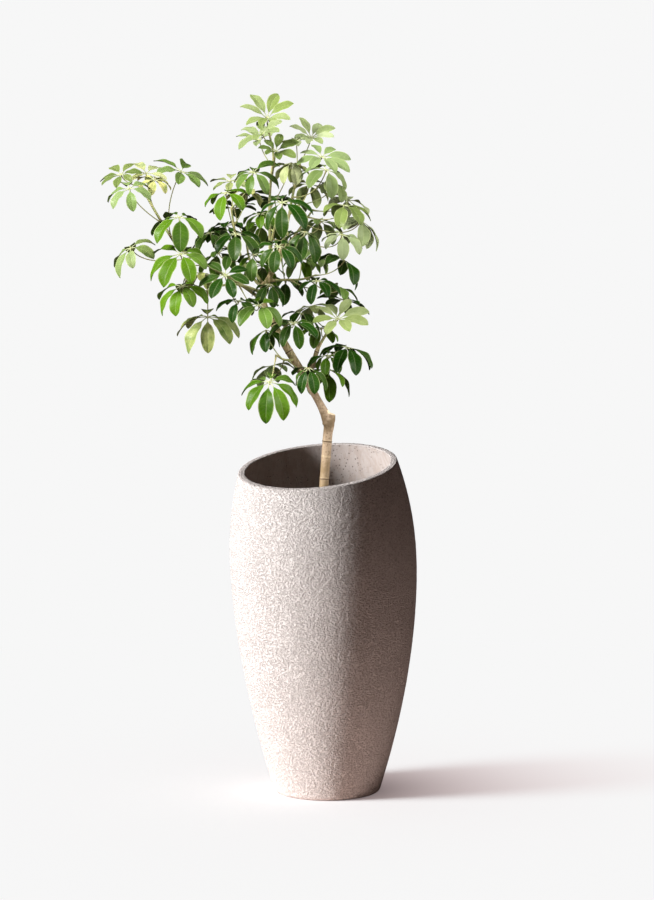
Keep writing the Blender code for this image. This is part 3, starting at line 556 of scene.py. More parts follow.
# How pale and how yellow a leaf is. The high leaves and those on the right are paler, partly as
# younger leaves and partly as painted light for their sheen and the light through them.
PALE_FROM_HEIGHT = 1.060
PALE_TO_HEIGHT = 1.190
PALE_FROM_SIDE = -0.070
PALE_TO_SIDE = 0.050
PALE_SIDE_FLOOR = 0.930
SIDE_PALENESS = 0.85
# How far the leaflets of one leaf differ
PALE_SPREAD = 0.12
TONE_SPREAD = 0.2
GOLD_SPREAD = (0.4, 1.1)
# Leaves that differ from what their place gives, as (paleness, yellowness); the paleness is partly
# painted light
ODD_LEAVES = {
    "shoot_far_left": {
        1: (0.35, 0.10), 3: (0.25, 0.0), 4: (0.30, 0.0), 5: (0.9, 0.35), 6: (0.9, 0.8),
        7: (0.55, 0.05),
    },
    "shoot_left_front": {4: (0.15, 0.4), 6: (0.2, 0.25)},
    "shoot_centre_left": {4: (0.6, 0.4), 5: (0.6, 0.2)},
    "shoot_top": {0: (0.7, 0.2)},
    "shoot_upper_right": {0: (0.6, 0.2), 3: (0.8, 0.3)},
    "shoot_mid_right": {2: (0.1, 0.0), 3: (0.0, 0.0)},
    "shoot_second_limb": {1: (0.5, 0.2), 3: (1.0, 0.05)},
    "shoot_low_left": {1: (0.4, 0.0)},
}
# Leaves of the darkest green
DARK_LEAVES = {
    "shoot_left_front": (0, 2, 3),
    "shoot_centre_left": (0, 2),
    "shoot_front": (1, 2, 4),
    "shoot_mid_right": (0, 3),
    "shoot_low_right": (2,),
}


class Shape:
    """Points, faces, the material slot of each face, and named values at each point."""

    def __init__(self, *names):
        self.points = []
        self.faces = []
        self.slots = []
        self.values = {name: [] for name in names}

    def add(self, points, faces, slots=None, **values):
        low = len(self.points)
        self.points += [tuple(point) for point in points]
        self.faces += [tuple(corner + low for corner in face) for face in faces]
        self.slots += slots or [0] * len(faces)
        for name, rows in self.values.items():
            given = values.get(name, 0.0)
            rows += list(given) if hasattr(given, "__len__") else [given] * len(points)


def make_object(name, points, faces, collection=None):
    mesh = bpy.data.meshes.new(name)
    mesh.from_pydata(points, [], faces)
    obj = bpy.data.objects.new(name, mesh)
    (collection or bpy.context.scene.collection).objects.link(obj)
    return obj


def keep_values(mesh, values):
    """Named values at the points of a mesh, for its material to read."""
    for name, rows in values.items():
        mesh.attributes.new(name, "FLOAT", "POINT").data.foreach_set("value", rows)


def make_piece(name, shape, materials, node, sharp=SHARP_ANGLE):
    """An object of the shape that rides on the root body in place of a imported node."""
    obj = make_object(name, shape.points, shape.faces)
    keep_values(obj.data, shape.values)
    obj.data.polygons.foreach_set("material_index", shape.slots)
    obj.data.validate()
    return dress(obj, materials, node, sharp)


def dress(obj, materials, node, sharp):
    """Gives an object its materials, and its place on the root body instead of the node."""
    obj.data.materials.clear()
    for material in materials:
        obj.data.materials.append(material)
    obj.data.shade_smooth()
    obj.data.set_sharp_from_angle(angle=math.radians(sharp))
    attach(obj, "root")
    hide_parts(node)
    return obj


# Smooth routes and tubes


def smooth_route(points, step):
    """A smooth curve through the points, read about every step."""
    points = [Vector(point) for point in points]
    before = points[0] * 2 - points[1]
    after = points[-1] * 2 - points[-2]
    chain = [before, *points, after]
    route = [points[0]]
    for p0, p1, p2, p3 in zip(chain, chain[1:], chain[2:], chain[3:]):
        count = max(1, round((p2 - p1).length / step))
        for number in range(1, count + 1):
            t = number / count
            bends = (2 * p0 - 5 * p1 + 4 * p2 - p3) * t**2
            route.append(0.5 * (2 * p1 + (p2 - p0) * t + bends + (3 * p1 - p0 - 3 * p2 + p3) * t**3))
    return route


def tangents_of(route):
    ends = [route[0], *route, route[-1]]
    return [(after - before).normalized() for before, after in zip(ends, ends[2:])]


def rings_to_faces(rings, sides):
    """Quads between rings of points that follow each other."""
    faces = []
    for ring in range(rings - 1):
        low = ring * sides
        for number in range(sides):
            after = (number + 1) % sides
            faces.append((low + number, low + after, low + sides + after, low + sides + number))
    return faces


def closed_faces(rings, sides):
    """Faces of a tube of rings with flat ends."""
    top = (rings - 1) * sides
    ends = [tuple(reversed(range(sides))), tuple(range(top, top + sides))]
    return [ends[0], *rings_to_faces(rings, sides), ends[1]]


def turns_of(sides):
    """Angles of the corners round one ring."""
    return [math.tau * number / sides for number in range(sides)]


def tube(route, radii, sides, first_tangent=None):
    """Points and faces of a closed tube with flat ends."""
    tangents = tangents_of(route)
    if first_tangent:
        tangents[0] = first_tangent
    side = tangents[0].orthogonal().normalized()
    points = []
    for centre, tangent, radius in zip(route, tangents, radii):
        side = (side - tangent * side.dot(tangent)).normalized()
        other = tangent.cross(side)
        for angle in turns_of(sides):
            offset = side * math.cos(angle) + other * math.sin(angle)
            points.append(centre + offset * radius)
    return points, closed_faces(len(route), sides)


def lengths_along(route):
    """Distance from the start of the route to each of its points."""
    steps = [(high - low).length for low, high in zip(route, route[1:])]
    return np.cumsum([0.0, *steps])


def along(route, share):
    """The point at this share of the route's length."""
    lengths = lengths_along(route)
    place = share * lengths[-1]
    for number in range(1, len(route)):
        if lengths[number] >= place:
            part = (place - lengths[number - 1]) / (lengths[number] - lengths[number - 1])
            return route[number - 1].lerp(route[number], part)
    return route[-1]


def clamp(value):
    return min(1.0, max(0.0, value))


def ease(value, low, high):
    """From 0 at low to 1 at high, smooth at both ends."""
    share = clamp((value - low) / (high - low))
    return share * share * (3 - 2 * share)


# Pot


def pot_radius(height):
    if height < POT_WIDEST_HEIGHT:
        share = (POT_WIDEST_HEIGHT - height) / POT_WIDEST_HEIGHT
        drop = POT_WIDEST_RADIUS - POT_FOOT_RADIUS
        return POT_WIDEST_RADIUS - drop * share**POT_LOWER_POWER
    share = (height - POT_WIDEST_HEIGHT) / (POT_RIM_HEIGHT - POT_WIDEST_HEIGHT)
    drop = POT_WIDEST_RADIUS - POT_RIM_RADIUS
    return POT_WIDEST_RADIUS - drop * share**POT_UPPER_POWER


def pot_point(angle, height, inset=0.0):
    """A point of the pot's wall, moved in from the outer face by inset."""
    middle = POT_LEAN * (height / POT_RIM_HEIGHT) ** 2
    radius = pot_radius(height) - inset
    return Vector((middle + radius * math.cos(angle), radius * math.sin(angle), height))


def rim_height(angle, inset=0.0):
    """Height of the slanted rim's plane where the wall meets it."""
    height = POT_RIM_HEIGHT
    for _ in range(RIM_ROUNDS):
        point = pot_point(angle, height, inset)
        height = POT_RIM_HEIGHT + RIM_SLOPE_X * point.x + RIM_SLOPE_Y * point.y
    return height


def stone_relief(place):
    """How deep the wrinkled cast surface lies under its high points, from 0 to 1."""
    turned = Vector((place.x, place.y, place.z * RELIEF_STRETCH)) * RELIEF_SCALE
    bent = turned + noise.noise_vector(turned * BEND_SCALE) * BEND_DEPTH
    ridges = 1.0 - abs(noise.noise(bent)) * RIDGE_SHARPNESS
    grains = noise.noise(turned * GRAIN_SCALE) * GRAIN_SHARE
    return clamp(RIDGE_SHARE * ridges + grains + RELIEF_BASE)


def pot_rows():
    """The pot's rings from the foot's edge up the wall, over the lip and down inside. Each is
    the share of the way up to the rim, the inset, the drop below that share, how much relief
    it has, and how far it is lip and inner wall."""
    rows = []
    for number in range(FINE_FOOT_ROWS):
        turn = math.pi / 2 * number / FINE_FOOT_ROWS
        inset = FOOT_EDGE * (1 - math.sin(turn))
        rows.append((0.0, inset, -FOOT_EDGE * (1 - math.cos(turn)), 0.0, 0.0, 0.0))
    first = FOOT_EDGE / POT_RIM_HEIGHT
    for share in np.linspace(first, LIP_SHARE, FINE_WALL_ROWS):
        relief = min(1.0, (share - first) / RELIEF_EASE)
        rows.append((share, 0.0, 0.0, relief, 0.0, 0.0))
    for number in range(FINE_LIP_ROWS + 1):
        turn = math.pi * number / FINE_LIP_ROWS
        flat = LIP_EDGE if number <= FINE_LIP_ROWS // 2 else WALL - LIP_EDGE
        inset = flat - LIP_EDGE * math.cos(turn)
        drop = LIP_EDGE * (1 - math.sin(turn))
        inside = ease(number, FINE_LIP_ROWS * LIP_INSIDE_FROM, FINE_LIP_ROWS)
        rows.append((1.0, inset, drop, 1.0 - inside, math.sin(turn), inside))
    for share in np.linspace(LIP_SHARE, INNER_SHARE, FINE_INNER_ROWS):
        rows.append((share, WALL, 0.0, 0.0, 0.0, 1.0))
    return rows


def pot_shape():
    """The stone with its fine relief, whose seed keeps it the same each run."""
    noise.seed_set(RELIEF_SEED)
    angles = turns_of(FINE_POT_SIDES)
    rims = {
        inset: [rim_height(angle, inset) for angle in angles]
        for inset in {row[1] for row in pot_rows()}
    }
    points = []
    lips, insides = [], []
    for share, inset, drop, relief, lip, inside in pot_rows():
        for angle, rim in zip(angles, rims[inset]):
            height = share * rim - drop
            place = pot_point(angle, height, inset)
            if relief:
                depth = RELIEF_DEPTH * relief * (1.0 - stone_relief(place))
                place = pot_point(angle, height - depth * lip, inset + depth * (1 - lip))
            points.append(place)
            lips.append(lip)
            insides.append(inside)
    for height in INNER_HEIGHTS:
        points += [pot_point(angle, height, WALL) for angle in angles]
        lips += [0.0] * FINE_POT_SIDES
        insides += [1.0] * FINE_POT_SIDES
    shape = Shape("lip", "inside")
    faces = closed_faces(len(points) // FINE_POT_SIDES, FINE_POT_SIDES)
    shape.add(points, faces, lip=lips, inside=insides)
    return shape


def drill_drains(pot):
    """Cuts the drain holes through the pot's floor."""
    group = bpy.data.collections.new("drains")
    bpy.context.scene.collection.children.link(group)
    for number in range(DRAIN_COUNT):
        angle = math.tau * (number + DRAIN_TURN) / DRAIN_COUNT
        middle = Vector((DRAIN_REACH * math.cos(angle), DRAIN_REACH * math.sin(angle), 0.0))
        ends = [middle - Vector((0, 0, FLOOR)), middle + Vector((0, 0, 2 * FLOOR))]
        make_object(f"drain_{number}", *tube(ends, [DRAIN_RADIUS] * 2, DRAIN_SIDES), group)
    cut = pot.modifiers.new("drains", "BOOLEAN")
    cut.operation = "DIFFERENCE"
    cut.operand_type = "COLLECTION"
    cut.collection = group
    cut.solver = "MANIFOLD"
    apply_modifiers(pot)
    for drain in list(group.objects):
        bpy.data.objects.remove(drain, do_unlink=True)
    bpy.data.collections.remove(group)


def apply_modifiers(obj):
    """Makes what an object's modifiers do to it its own mesh."""
    graph = bpy.context.evaluated_depsgraph_get()
    made = bpy.data.meshes.new_from_object(obj.evaluated_get(graph))
    obj.modifiers.clear()
    obj.data = made


def make_pot():
    pot = make_piece("pot_stone", pot_shape(), [cast_stone()], "pot", POT_SHARP_ANGLE)
    drill_drains(pot)
    return pot


# Soil


def soil_surface(x, y):
    """Height of the soil: a low uneven mound round the trunk."""
    far = math.hypot(x, y) / MOUND_SPREAD
    wave = math.sin(x * COARSE_WAVES[0]) * math.cos(y * COARSE_WAVES[1])
    wave += math.sin(x * FINE_WAVES[0] - y * FINE_WAVES[1]) / 2
    return SOIL_HEIGHT + MOUND_HEIGHT * math.exp(-(far**2)) + SOIL_WAVE * wave * min(1.0, far)


def soil_shape():
    """The fill, from its bottom up its side and over its crumbly top to the middle."""
    inset = WALL + SEAT
    angles = turns_of(SOIL_SIDES)
    points = []
    for height in (FLOOR + SEAT, *reversed(INNER_HEIGHTS[:-1])):
        points += [pot_point(angle, height, inset) for angle in angles]
    middle = Vector(TRUNK_ROUTE[0][0])
    for number in range(SOIL_ROWS):
        reach = SOIL_EDGE * (1 - number / SOIL_ROWS)
        for angle in angles:
            edge = pot_point(angle, SOIL_HEIGHT, inset)
            place = Vector((middle.x, middle.y, 0)).lerp(Vector((edge.x, edge.y, 0)), reach)
            crumbs = sum(noise.noise(place * scale) * rise for scale, rise in CRUMB_NOISES)
            place.z = soil_surface(place.x, place.y) + crumbs
            points.append(place)
    shape = Shape("tone")
    shape.add(points, closed_faces(len(points) // SOIL_SIDES, SOIL_SIDES))
    add_chips(shape, inset)
    return shape


def chip(place, size, rng):
    """One crumb of bark or grit: a rough lump with eight corners."""
    points = []
    for x in (-1, 1):
        for y in (-1, 1):
            for z in (-1, 1):
                corner = Vector((x * size[0], y * size[1], z * size[2]))
                points.append(corner * rng.uniform(*CHIP_CORNERS))
    axis = (rng.gauss(0, CHIP_TILT), rng.gauss(0, CHIP_TILT), 1.0)
    turn = Quaternion(axis, rng.uniform(0, math.tau))
    points = [place + turn.normalized() @ point for point in points]
    faces = [(0, 1, 3, 2), (4, 6, 7, 5), (0, 4, 5, 1), (2, 3, 7, 6), (0, 2, 6, 4), (1, 5, 7, 3)]
    return points, faces


def add_chips(shape, inset):
    """Strews the crumbs over the soil."""
    rng = random.Random(CHIP_SEED)
    middle = Vector(TRUNK_ROUTE[0][0])
    for _ in range(SOIL_CHIPS):
        angle = rng.uniform(0, math.tau)
        reach = math.sqrt(rng.uniform(*CHIP_REACHES))
        edge = pot_point(angle, SOIL_HEIGHT, inset)
        place = middle.lerp(edge, reach)
        place.z = soil_surface(place.x, place.y) + CHIP_LIFT
        long = rng.uniform(*CHIP_LENGTHS)
        size = (long, long * rng.uniform(*CHIP_WIDTHS), long * rng.uniform(*CHIP_HEIGHTS))
        points, faces = chip(place, size, rng)
        shape.add(points, faces, tone=rng.uniform(*CHIP_TONES))


def make_soil():
    shape = soil_shape()
    return make_piece(
        "soil_crumbs", shape, [potting_soil()], "soil", SOIL_SHARP_ANGLE
    )


# Wood


def limb_radii(rows, route):
    """Radius at each point of a route through rows of (place, radius)."""
    marks = lengths_along([Vector(place) for place, _ in rows])
    places = lengths_along(route)
    radii = np.interp(places / places[-1], marks / marks[-1], [radius for _, radius in rows])
    return [
        radius + KNUCKLE_SWELL * math.exp(-(((point.z - KNUCKLE_HEIGHT) / KNUCKLE_SPREAD) ** 2))
        for radius, point in zip(radii, route)
    ]


def limb(rows, step, sides):
    """A tube through rows of (place, radius)."""
    route = smooth_route([place for place, _ in rows], step)
    return tube(route, limb_radii(rows, route), sides)


def trunk_foot(sides):
    """The straight length in the soil, which runs on into the trunk."""
    top = Vector(TRUNK_ROUTE[0][0])
    low = top - Vector((0, 0, TRUNK_FOOT_DEPTH))
    route = [low, top, top + Vector(TRUNK_FOOT_LEAN)]
    return tube(route, [TRUNK_ROUTE[0][1]] * len(route), sides)


def shoot_start(shoot):
    """Where the shoot's own stem begins and its direction there, clear of its collar."""
    root = Vector(shoot.root)
    direction = (Vector(shoot.route[0]) - root).normalized()
    return root + direction * COLLAR_REACH, direction


def collar(shoot, sides):
    """The short woody base that a shoot grows from."""
    start, _ = shoot_start(shoot)
    radii = [shoot.radius * swell for swell in COLLAR_SWELLS]
    return tube([Vector(shoot.root), start], radii, sides)


def trunk_pieces():
    """The trunk as its solids have it, for finding what crosses it."""
    return [
        limb(TRUNK_ROUTE, TRUNK_STEP, TRUNK_SIDES),
        trunk_foot(TRUNK_SIDES),
        limb(SECOND_LIMB, LIMB_STEP, LIMB_SIDES),
        limb(PRUNED_STUB, LIMB_STEP, TRUNK_SIDES),
        *[collar(shoot, COLLAR_SIDES) for shoot in SHOOTS],
    ]


def fine_wood():
    """One mesh grown together from the fine trunk, limbs and collars."""
    shape = Shape()
    for rows in LIMBS:
        shape.add(*limb(rows, FINE_WOOD_STEP, FINE_WOOD_SIDES))
    shape.add(*trunk_foot(FINE_WOOD_SIDES))
    for shoot in SHOOTS:
        shape.add(*collar(shoot, FINE_WOOD_SIDES))
    wood = make_object("trunk_bark", shape.points, shape.faces)
    grown = wood.modifiers.new("grown", "REMESH")
    grown.mode = "VOXEL"
    grown.voxel_size = WOOD_VOXEL
    smooth = wood.modifiers.new("smooth", "SMOOTH")
    smooth.iterations = WOOD_SMOOTHING
    smooth.factor = SMOOTHING_SHARE
    apply_modifiers(wood)
    return wood


def wood_lines():
    """The middle lines of the wood with the height to colour by, for shaping the bark."""
    lines = []
    for rows in LIMBS:
        route = smooth_route([place for place, _ in rows], FINE_WOOD_STEP)
        lines += list(zip(route, tangents_of(route), lengths_along(route)))
    return lines


def shape_bark(wood):
    """Raises the ring scars and the small warts, and keeps where they are for the colours."""
    lines = wood_lines()
    tree = KDTree(len(lines))
    for number, (point, _, _) in enumerate(lines):
        tree.insert(point, number)
    tree.balance()
    values = {"scar": [], "green": [], "cut": []}
    stub_end = Vector(PRUNED_STUB[-1][0])
    stub_way = (stub_end - Vector(PRUNED_STUB[0][0])).normalized()
    for vertex in wood.data.vertices:
        middle, number, _ = tree.find(vertex.co)
        tangent = lines[number][1]
        outward = vertex.co - middle
        outward -= tangent * outward.dot(tangent)
        height = middle.z + (vertex.co - middle).dot(tangent) * tangent.z
        wobble = noise.noise(vertex.co * RING_WOBBLE_SCALE) * RING_WOBBLE
        near, depth = min((abs(height + wobble - ring), depth) for ring, depth in RING_SCARS)
        scar = depth * math.exp(-((near / RING_SPREAD) ** 2))
        grain = sum(noise.noise(vertex.co * scale) * share for scale, share in BARK_NOISES)
        lift = RING_HEIGHT * scar + BARK_GRAIN * grain
        vertex.co += outward.normalized() * lift
        past = vertex.co - stub_end
        cut = ease(past.dot(stub_way), *CUT_EDGE) if past.length < CUT_REACH else 0.0
        values["scar"].append(scar)
        values["green"].append(ease(height, GREEN_FROM, GREEN_TO))
        values["cut"].append(cut)
    keep_values(wood.data, values)


def make_trunk():
    wood = fine_wood()
    shape_bark(wood)
    return dress(wood, [bark()], "trunk", BARK_SHARP_ANGLE)


# Leafy shoots, laid out as their solids are


def stem_of(shoot):
    """The route of a shoot's stem, and its solid."""
    start, direction = shoot_start(shoot)
    start = start + direction * SEAT
    route = smooth_route([start, *shoot.route], STEM_STEP)
    radii = list(np.linspace(shoot.radius, shoot.radius * STEM_TIP, len(route)))
    return route, tube(route, radii, STEM_SIDES, direction)


def stalk_route(start, leaf, bow, steps):
    """The leaf stalk's curve from the stem to the hub, which it reaches along the leaf's axis."""
    hub = Vector(leaf.hub)
    up = Vector(leaf.up).normalized()
    bend = hub - up * (hub - start).length * STALK_BEND + bow
    route = []
    for number in range(steps + 1):
        t = number / steps
        route.append(start * (1 - t) ** 2 + bend * 2 * t * (1 - t) + hub * t**2)
    return route


def stalk(route, thicker=0.0):
    radii = [STALK_RADIUS + thicker] * len(route)
    radii[0] = STALK_RADIUS * STALK_SWELLS[0] + thicker
    radii[-1] = STALK_RADIUS * STALK_SWELLS[1] + thicker
    return tube(route, radii, STALK_SIDES)


def leaflet_rows(leaf, rng):
    """For each leaflet its direction round the hub, share of the full length, and lift and
    roll in degrees."""
    turn = rng.uniform(0, math.tau)
    rows = []
    for number in range(leaf.count):
        place = number + rng.uniform(-TURN_SPREAD, TURN_SPREAD)
        lift = rng.uniform(-LIFT_SPREAD, LIFT_SPREAD)
        size = rng.uniform(LEAST_SIZE, MOST_SIZE)
        roll = BLADE_ROLL + rng.uniform(-ROLL_SPREAD, ROLL_SPREAD)
        rows.append((turn + math.tau * place / leaf.count, size, lift, roll))
    return rows


def leaf_axes(leaf, start):
    """The leaf's axis, the level direction away from the stem, and the one across both."""
    up = Vector(leaf.up).normalized()
    away = Vector(leaf.hub) - start
    away = away - up * away.dot(up)
    if away.length < LEAST_AWAY:
        away = up.orthogonal()
    away.normalize()
    return up, away, up.cross(away)


def outward_of(axes, angle):
    up, away, across = axes
    return away * math.cos(angle) + across * math.sin(angle)


def outline_of(leaf):
    """The rows of a leaflet's solid, fewer on a small leaf."""
    return SMALL_OUTLINE if leaf.size < SMALL_LEAF else BLADE_OUTLINE


def blade_size(leaf, angle, size):
    """Length of a leaflet and half of its greatest width."""
    length = leaf.size * size * (1.0 - FAR_GROWTH + FAR_GROWTH * math.cos(angle))
    return length, length * min(BLADE_WIDTH, CROWDED_WIDTH / leaf.count) / 2


def blade_line(leaf, axes, angle, size, lift, roll, cuts=1):
    """The midrib of one leaflet as rows of (share, width, centre, crosswise, normal), from
    its first section to its tip. The solids' steps are each cut into this many."""
    up = axes[0]
    outward = outward_of(axes, angle)
    length, _ = blade_size(leaf, angle, size)
    first, bend = HABITS[leaf.habit]
    tilt = math.radians(first + lift)
    heading = outward * math.cos(tilt) + up * math.sin(tilt)
    crosswise = up.cross(outward)
    down = (-up - Vector((0, 0, 1))).normalized()
    centre = Vector(leaf.hub) + outward * HUB_RADIUS
    rows = []
    done = 0.0
    for share, width in outline_of(leaf):
        step = (share - done) / cuts
        turn = min(math.radians(bend) * step * cuts, heading.angle(down) * MOST_CURVE)
        for cut in range(1, cuts + 1):
            bending = Quaternion(heading.cross(down).normalized(), turn / 2 / cuts)
            heading = bending @ heading
            centre = centre + heading * length * step
            heading = bending @ heading
            level = (crosswise - heading * crosswise.dot(heading)).normalized()
            place = done + step * cut
            level = Quaternion(heading, math.radians(roll) * place) @ level
            rows.append((place, width, centre, level, heading.cross(level)))
        done = share
    return rows


def blade_sections(leaf, axes, angle, size, lift, roll, thicker=0.0):
    """The sections of one leaflet's solid, each as left edge, top, right edge and bottom,
    and its tip."""
    _, half = blade_size(leaf, angle, size)
    sections = []
    *rows, last = blade_line(leaf, axes, angle, size, lift, roll)
    for _, width, centre, level, normal in rows:
        reach = level * (half * width + thicker)
        rise = normal * half * width * BLADE_FOLD
        thick = normal * (BLADE_THICK / 2 + thicker)
        sections.append(
            (centre + reach + rise, centre + thick, centre - reach + rise, centre - thick)
        )
    return sections, last[2]


def blade_faces(sections, low, tip):
    """Triangles along a blade whose first section starts at point low, out to its tip."""
    faces = []
    for _ in range(sections - 1):
        high = low + 4
        faces += [(low, low + 1, high + 1), (low, high + 1, high)]
        faces += [(low + 2, high + 1, low + 1), (low + 2, high + 2, high + 1)]
        faces += [(low + 2, low + 3, high + 3), (low + 2, high + 3, high + 2)]
        faces += [(low, high + 3, low + 3), (low, high, high + 3)]
        low = high
    faces += [(tip, low + number, low + (number + 1) % 4) for number in range(4)]
    return faces


def hub_block(leaf):
    """The plain outer shape of a leaf's hub, for finding what crosses it."""
    hub = Vector(leaf.hub)
    rise = Vector(leaf.up).normalized() * HUB_HALF_HEIGHT
    return tube([hub - rise, hub + rise], [HUB_RADIUS] * 2, LIMB_SIDES)


def loose_blade(leaf, axes, angle, size, lift, roll, thicker=0.0):
    """A blade closed at the hub's side, for finding what it would cross."""
    sections, tip = blade_sections(leaf, axes, angle, size, lift, roll, thicker)
    outward = outward_of(axes, angle)
    root = Vector(leaf.hub) + outward * HUB_RADIUS
    side = axes[0].cross(outward) * (NECK / 2 + thicker)
    rise = axes[0] * (NECK + thicker)
    sections.insert(0, (root + side, root + rise, root - side, root - rise))
    points = [point for section in sections for point in section] + [tip]
    faces = [(0, 2, 1), (0, 3, 2)] + blade_faces(len(sections), 0, len(points) - 1)
    return points, faces


def extent(points):
    """The lowest and the highest corner of the box round the points."""
    rows = [tuple(point) for point in points]
    return np.min(rows, axis=0), np.max(rows, axis=0)


class Neighbours:
    """The pieces placed so far, by shoot, and what a new piece would cross."""

    def __init__(self):
        self.rows = []

    def add(self, owner, piece):
        self.rows.append((owner, *extent(piece[0]), BVHTree.FromPolygons(*piece)))

    def crossed(self, piece):
        """The owners of the pieces that this one crosses."""
        low, high = extent(piece[0])
        tree = None
        owners = []
        for owner, other_low, other_high, other_tree in self.rows:
            if (low > other_high).any() or (high < other_low).any():
                continue
            tree = tree or BVHTree.FromPolygons(*piece)
            if tree.overlap(other_tree):
                owners.append(owner)
        return owners


BOWS = [Vector((0, 0, 0))] + [
    Vector((math.cos(turn), math.sin(turn), 0)) * reach
    for reach in BOW_REACHES
    for turn in np.arange(0, math.tau, math.tau / BOW_TURNS)
]
NUDGES = [
    (turn, lift, share)
    for share in NUDGE_SHARES
    for lift in NUDGE_LIFTS
    for turn in NUDGE_TURNS
]


def place_stalks(shoot, route, neighbours):
    """For each leaf of a shoot, where its stalk starts and how it bows clear of others."""
    rows = []
    for number, leaf in enumerate(shoot.leaves):
        share = FIRST_LEAF_ALONG
        if len(shoot.leaves) > 1:
            share += (1.0 - FIRST_LEAF_ALONG) * number / (len(shoot.leaves) - 1)
        start = along(route, share)
        for bow in BOWS:
            curve = stalk_route(start, leaf, bow, STALK_STEPS)
            others = neighbours.crossed(stalk(curve, CLEARANCE))
            if all(owner == shoot.name for owner in others):
                break
        neighbours.add(shoot.name, stalk(curve))
        neighbours.add(shoot.name, hub_block(leaf))
        rows.append((leaf, start, bow))
    return rows


def fitted_row(leaf, axes, row, own, neighbours):
    """The first turn, lift and length of a leaflet that clears other shoots and its own leaf,
    and the rest of its shoot too where one does. None where nothing clears."""
    angle, size, lift, roll = row
    shoot_name = own.split("/")[0]
    second_best = None
    for turn, more, share in NUDGES:
        tried = (angle + math.radians(turn), size * share, lift + more, roll)
        owners = neighbours.crossed(loose_blade(leaf, axes, *tried, CLEARANCE))
        if any(name == own or not name.startswith(shoot_name) for name in owners):
            continue
        if not any(name.startswith(shoot_name + "/") for name in owners):
            return tried
        second_best = second_best or tried
    return second_best


def place_leaflets(shoot, stalks, first_number, neighbours):
    """For each leaf of a shoot, its axes and the rows of its leaflets."""
    placed = []
    for offset, (leaf, start, _) in enumerate(stalks):
        rng = random.Random(LEAF_SEED + first_number + offset)
        axes = leaf_axes(leaf, start)
        own = f"{shoot.name}/{offset}"
        rows = []
        for row in leaflet_rows(leaf, rng):
            fitted = fitted_row(leaf, axes, row, own, neighbours)
            if fitted:
                neighbours.add(own, loose_blade(leaf, axes, *fitted))
                rows.append(fitted)
        placed.append((axes, rows))
    return placed


def lay_out_shoots():
    """For each shoot its stem's route, its stalks and its leaflets."""
    neighbours = Neighbours()
    for piece in trunk_pieces():
        neighbours.add("trunk", piece)
    stems = {shoot.name: stem_of(shoot) for shoot in SHOOTS}
    for shoot in SHOOTS:
        neighbours.add(shoot.name, stems[shoot.name][1])
    stalks = {
        shoot.name: place_stalks(shoot, stems[shoot.name][0], neighbours) for shoot in SHOOTS
    }
    number = 0
    layout = []
    for shoot in SHOOTS:
        placed = place_leaflets(shoot, stalks[shoot.name], number, neighbours)
        number += len(shoot.leaves)
        layout.append((shoot, stalks[shoot.name], placed))
    return layout


# Fine leaflets


def paleness(leaf, shoot, offset):
    """How pale and how yellow a leaf is, each from 0 to 1. The paleness is partly painted light."""
    x, _, z = leaf.hub
    pale = ease(z, PALE_FROM_HEIGHT, PALE_TO_HEIGHT)
    if z > PALE_SIDE_FLOOR:
        pale = max(pale, ease(x, PALE_FROM_SIDE, PALE_TO_SIDE) * SIDE_PALENESS)
    return ODD_LEAVES.get(shoot.name, {}).get(offset, (pale, 0.0))


def half_width(share):
    """Half width of a fine leaflet at this share of its length, as a share of its widest."""
    return float(np.interp(share, *zip(*FINE_OUTLINE)))


def leaflet_ring(row, half, wave_turn, wave_size):
    """One ring of points round a leaflet, out over its upper side and back underneath."""
    share, _, centre, level, normal = row
    wide = half * half_width(share)
    blade = ease(share, STALKLET_END, STALKLET_END + BLADE_EASE)
    top, bottom = [], []
    for across in FINE_ACROSS:
        side = abs(across)
        wave = math.sin(share * math.tau * EDGE_WAVES + wave_turn + across) * wave_size
        rise = wide * (BLADE_FOLD * side**FOLD_POWER + wave * side**2)
        rise -= MIDRIB_DEPTH * math.exp(-((across / MIDRIB_SPREAD) ** 2)) * blade
        thick = FINE_HALF_THICK * math.sqrt(max(0.0, 1.0 - side**2))
        keel = math.exp(-((across / KEEL_SPREAD) ** 2)) * (1 - share) * blade
        thick += KEEL_DEPTH * keel
        flat = centre + level * across * wide + normal * rise
        round_up = math.cos(across * math.pi / 2)
        round_side = math.sin(across * math.pi / 2)
        upper = centre + (level * round_side + normal * round_up) * STALKLET_RADIUS
        lower = centre + (level * round_side - normal * round_up) * STALKLET_RADIUS
        top.append(upper.lerp(flat + normal * thick, blade))
        bottom.append(lower.lerp(flat - normal * thick, blade))
    return top + bottom[-2:0:-1]


def fine_leaflet(shape, leaf, axes, row, rng, **looks):
    """A thin leaflet with a grooved midrib and wavy edges on a round stalklet, as one
    closed tube of rings."""
    angle, size, lift, roll = row
    _, half = blade_size(leaf, angle, size)
    outward = outward_of(axes, angle)
    root = Vector(leaf.hub) + outward * HUB_RADIUS * STALKLET_ROOT
    cuts = FINE_STATIONS // len(outline_of(leaf))
    line = blade_line(leaf, axes, angle, size, lift, roll, cuts)
    line.insert(0, (0.0, 0.0, root, axes[0].cross(outward), axes[0]))
    wave_turn = rng.uniform(0, math.tau)
    wave_size = EDGE_WAVE * rng.uniform(*EDGE_WAVE_SIZES)
    points = []
    for section in line:
        points += leaflet_ring(section, half, wave_turn, wave_size)
    faces, slots = leaflet_faces(len(line))
    shares = np.repeat([section[0] for section in line], RING_SIDES)
    shape.add(points, faces, slots, along=shares, across=RING_ACROSS * len(line), **looks)


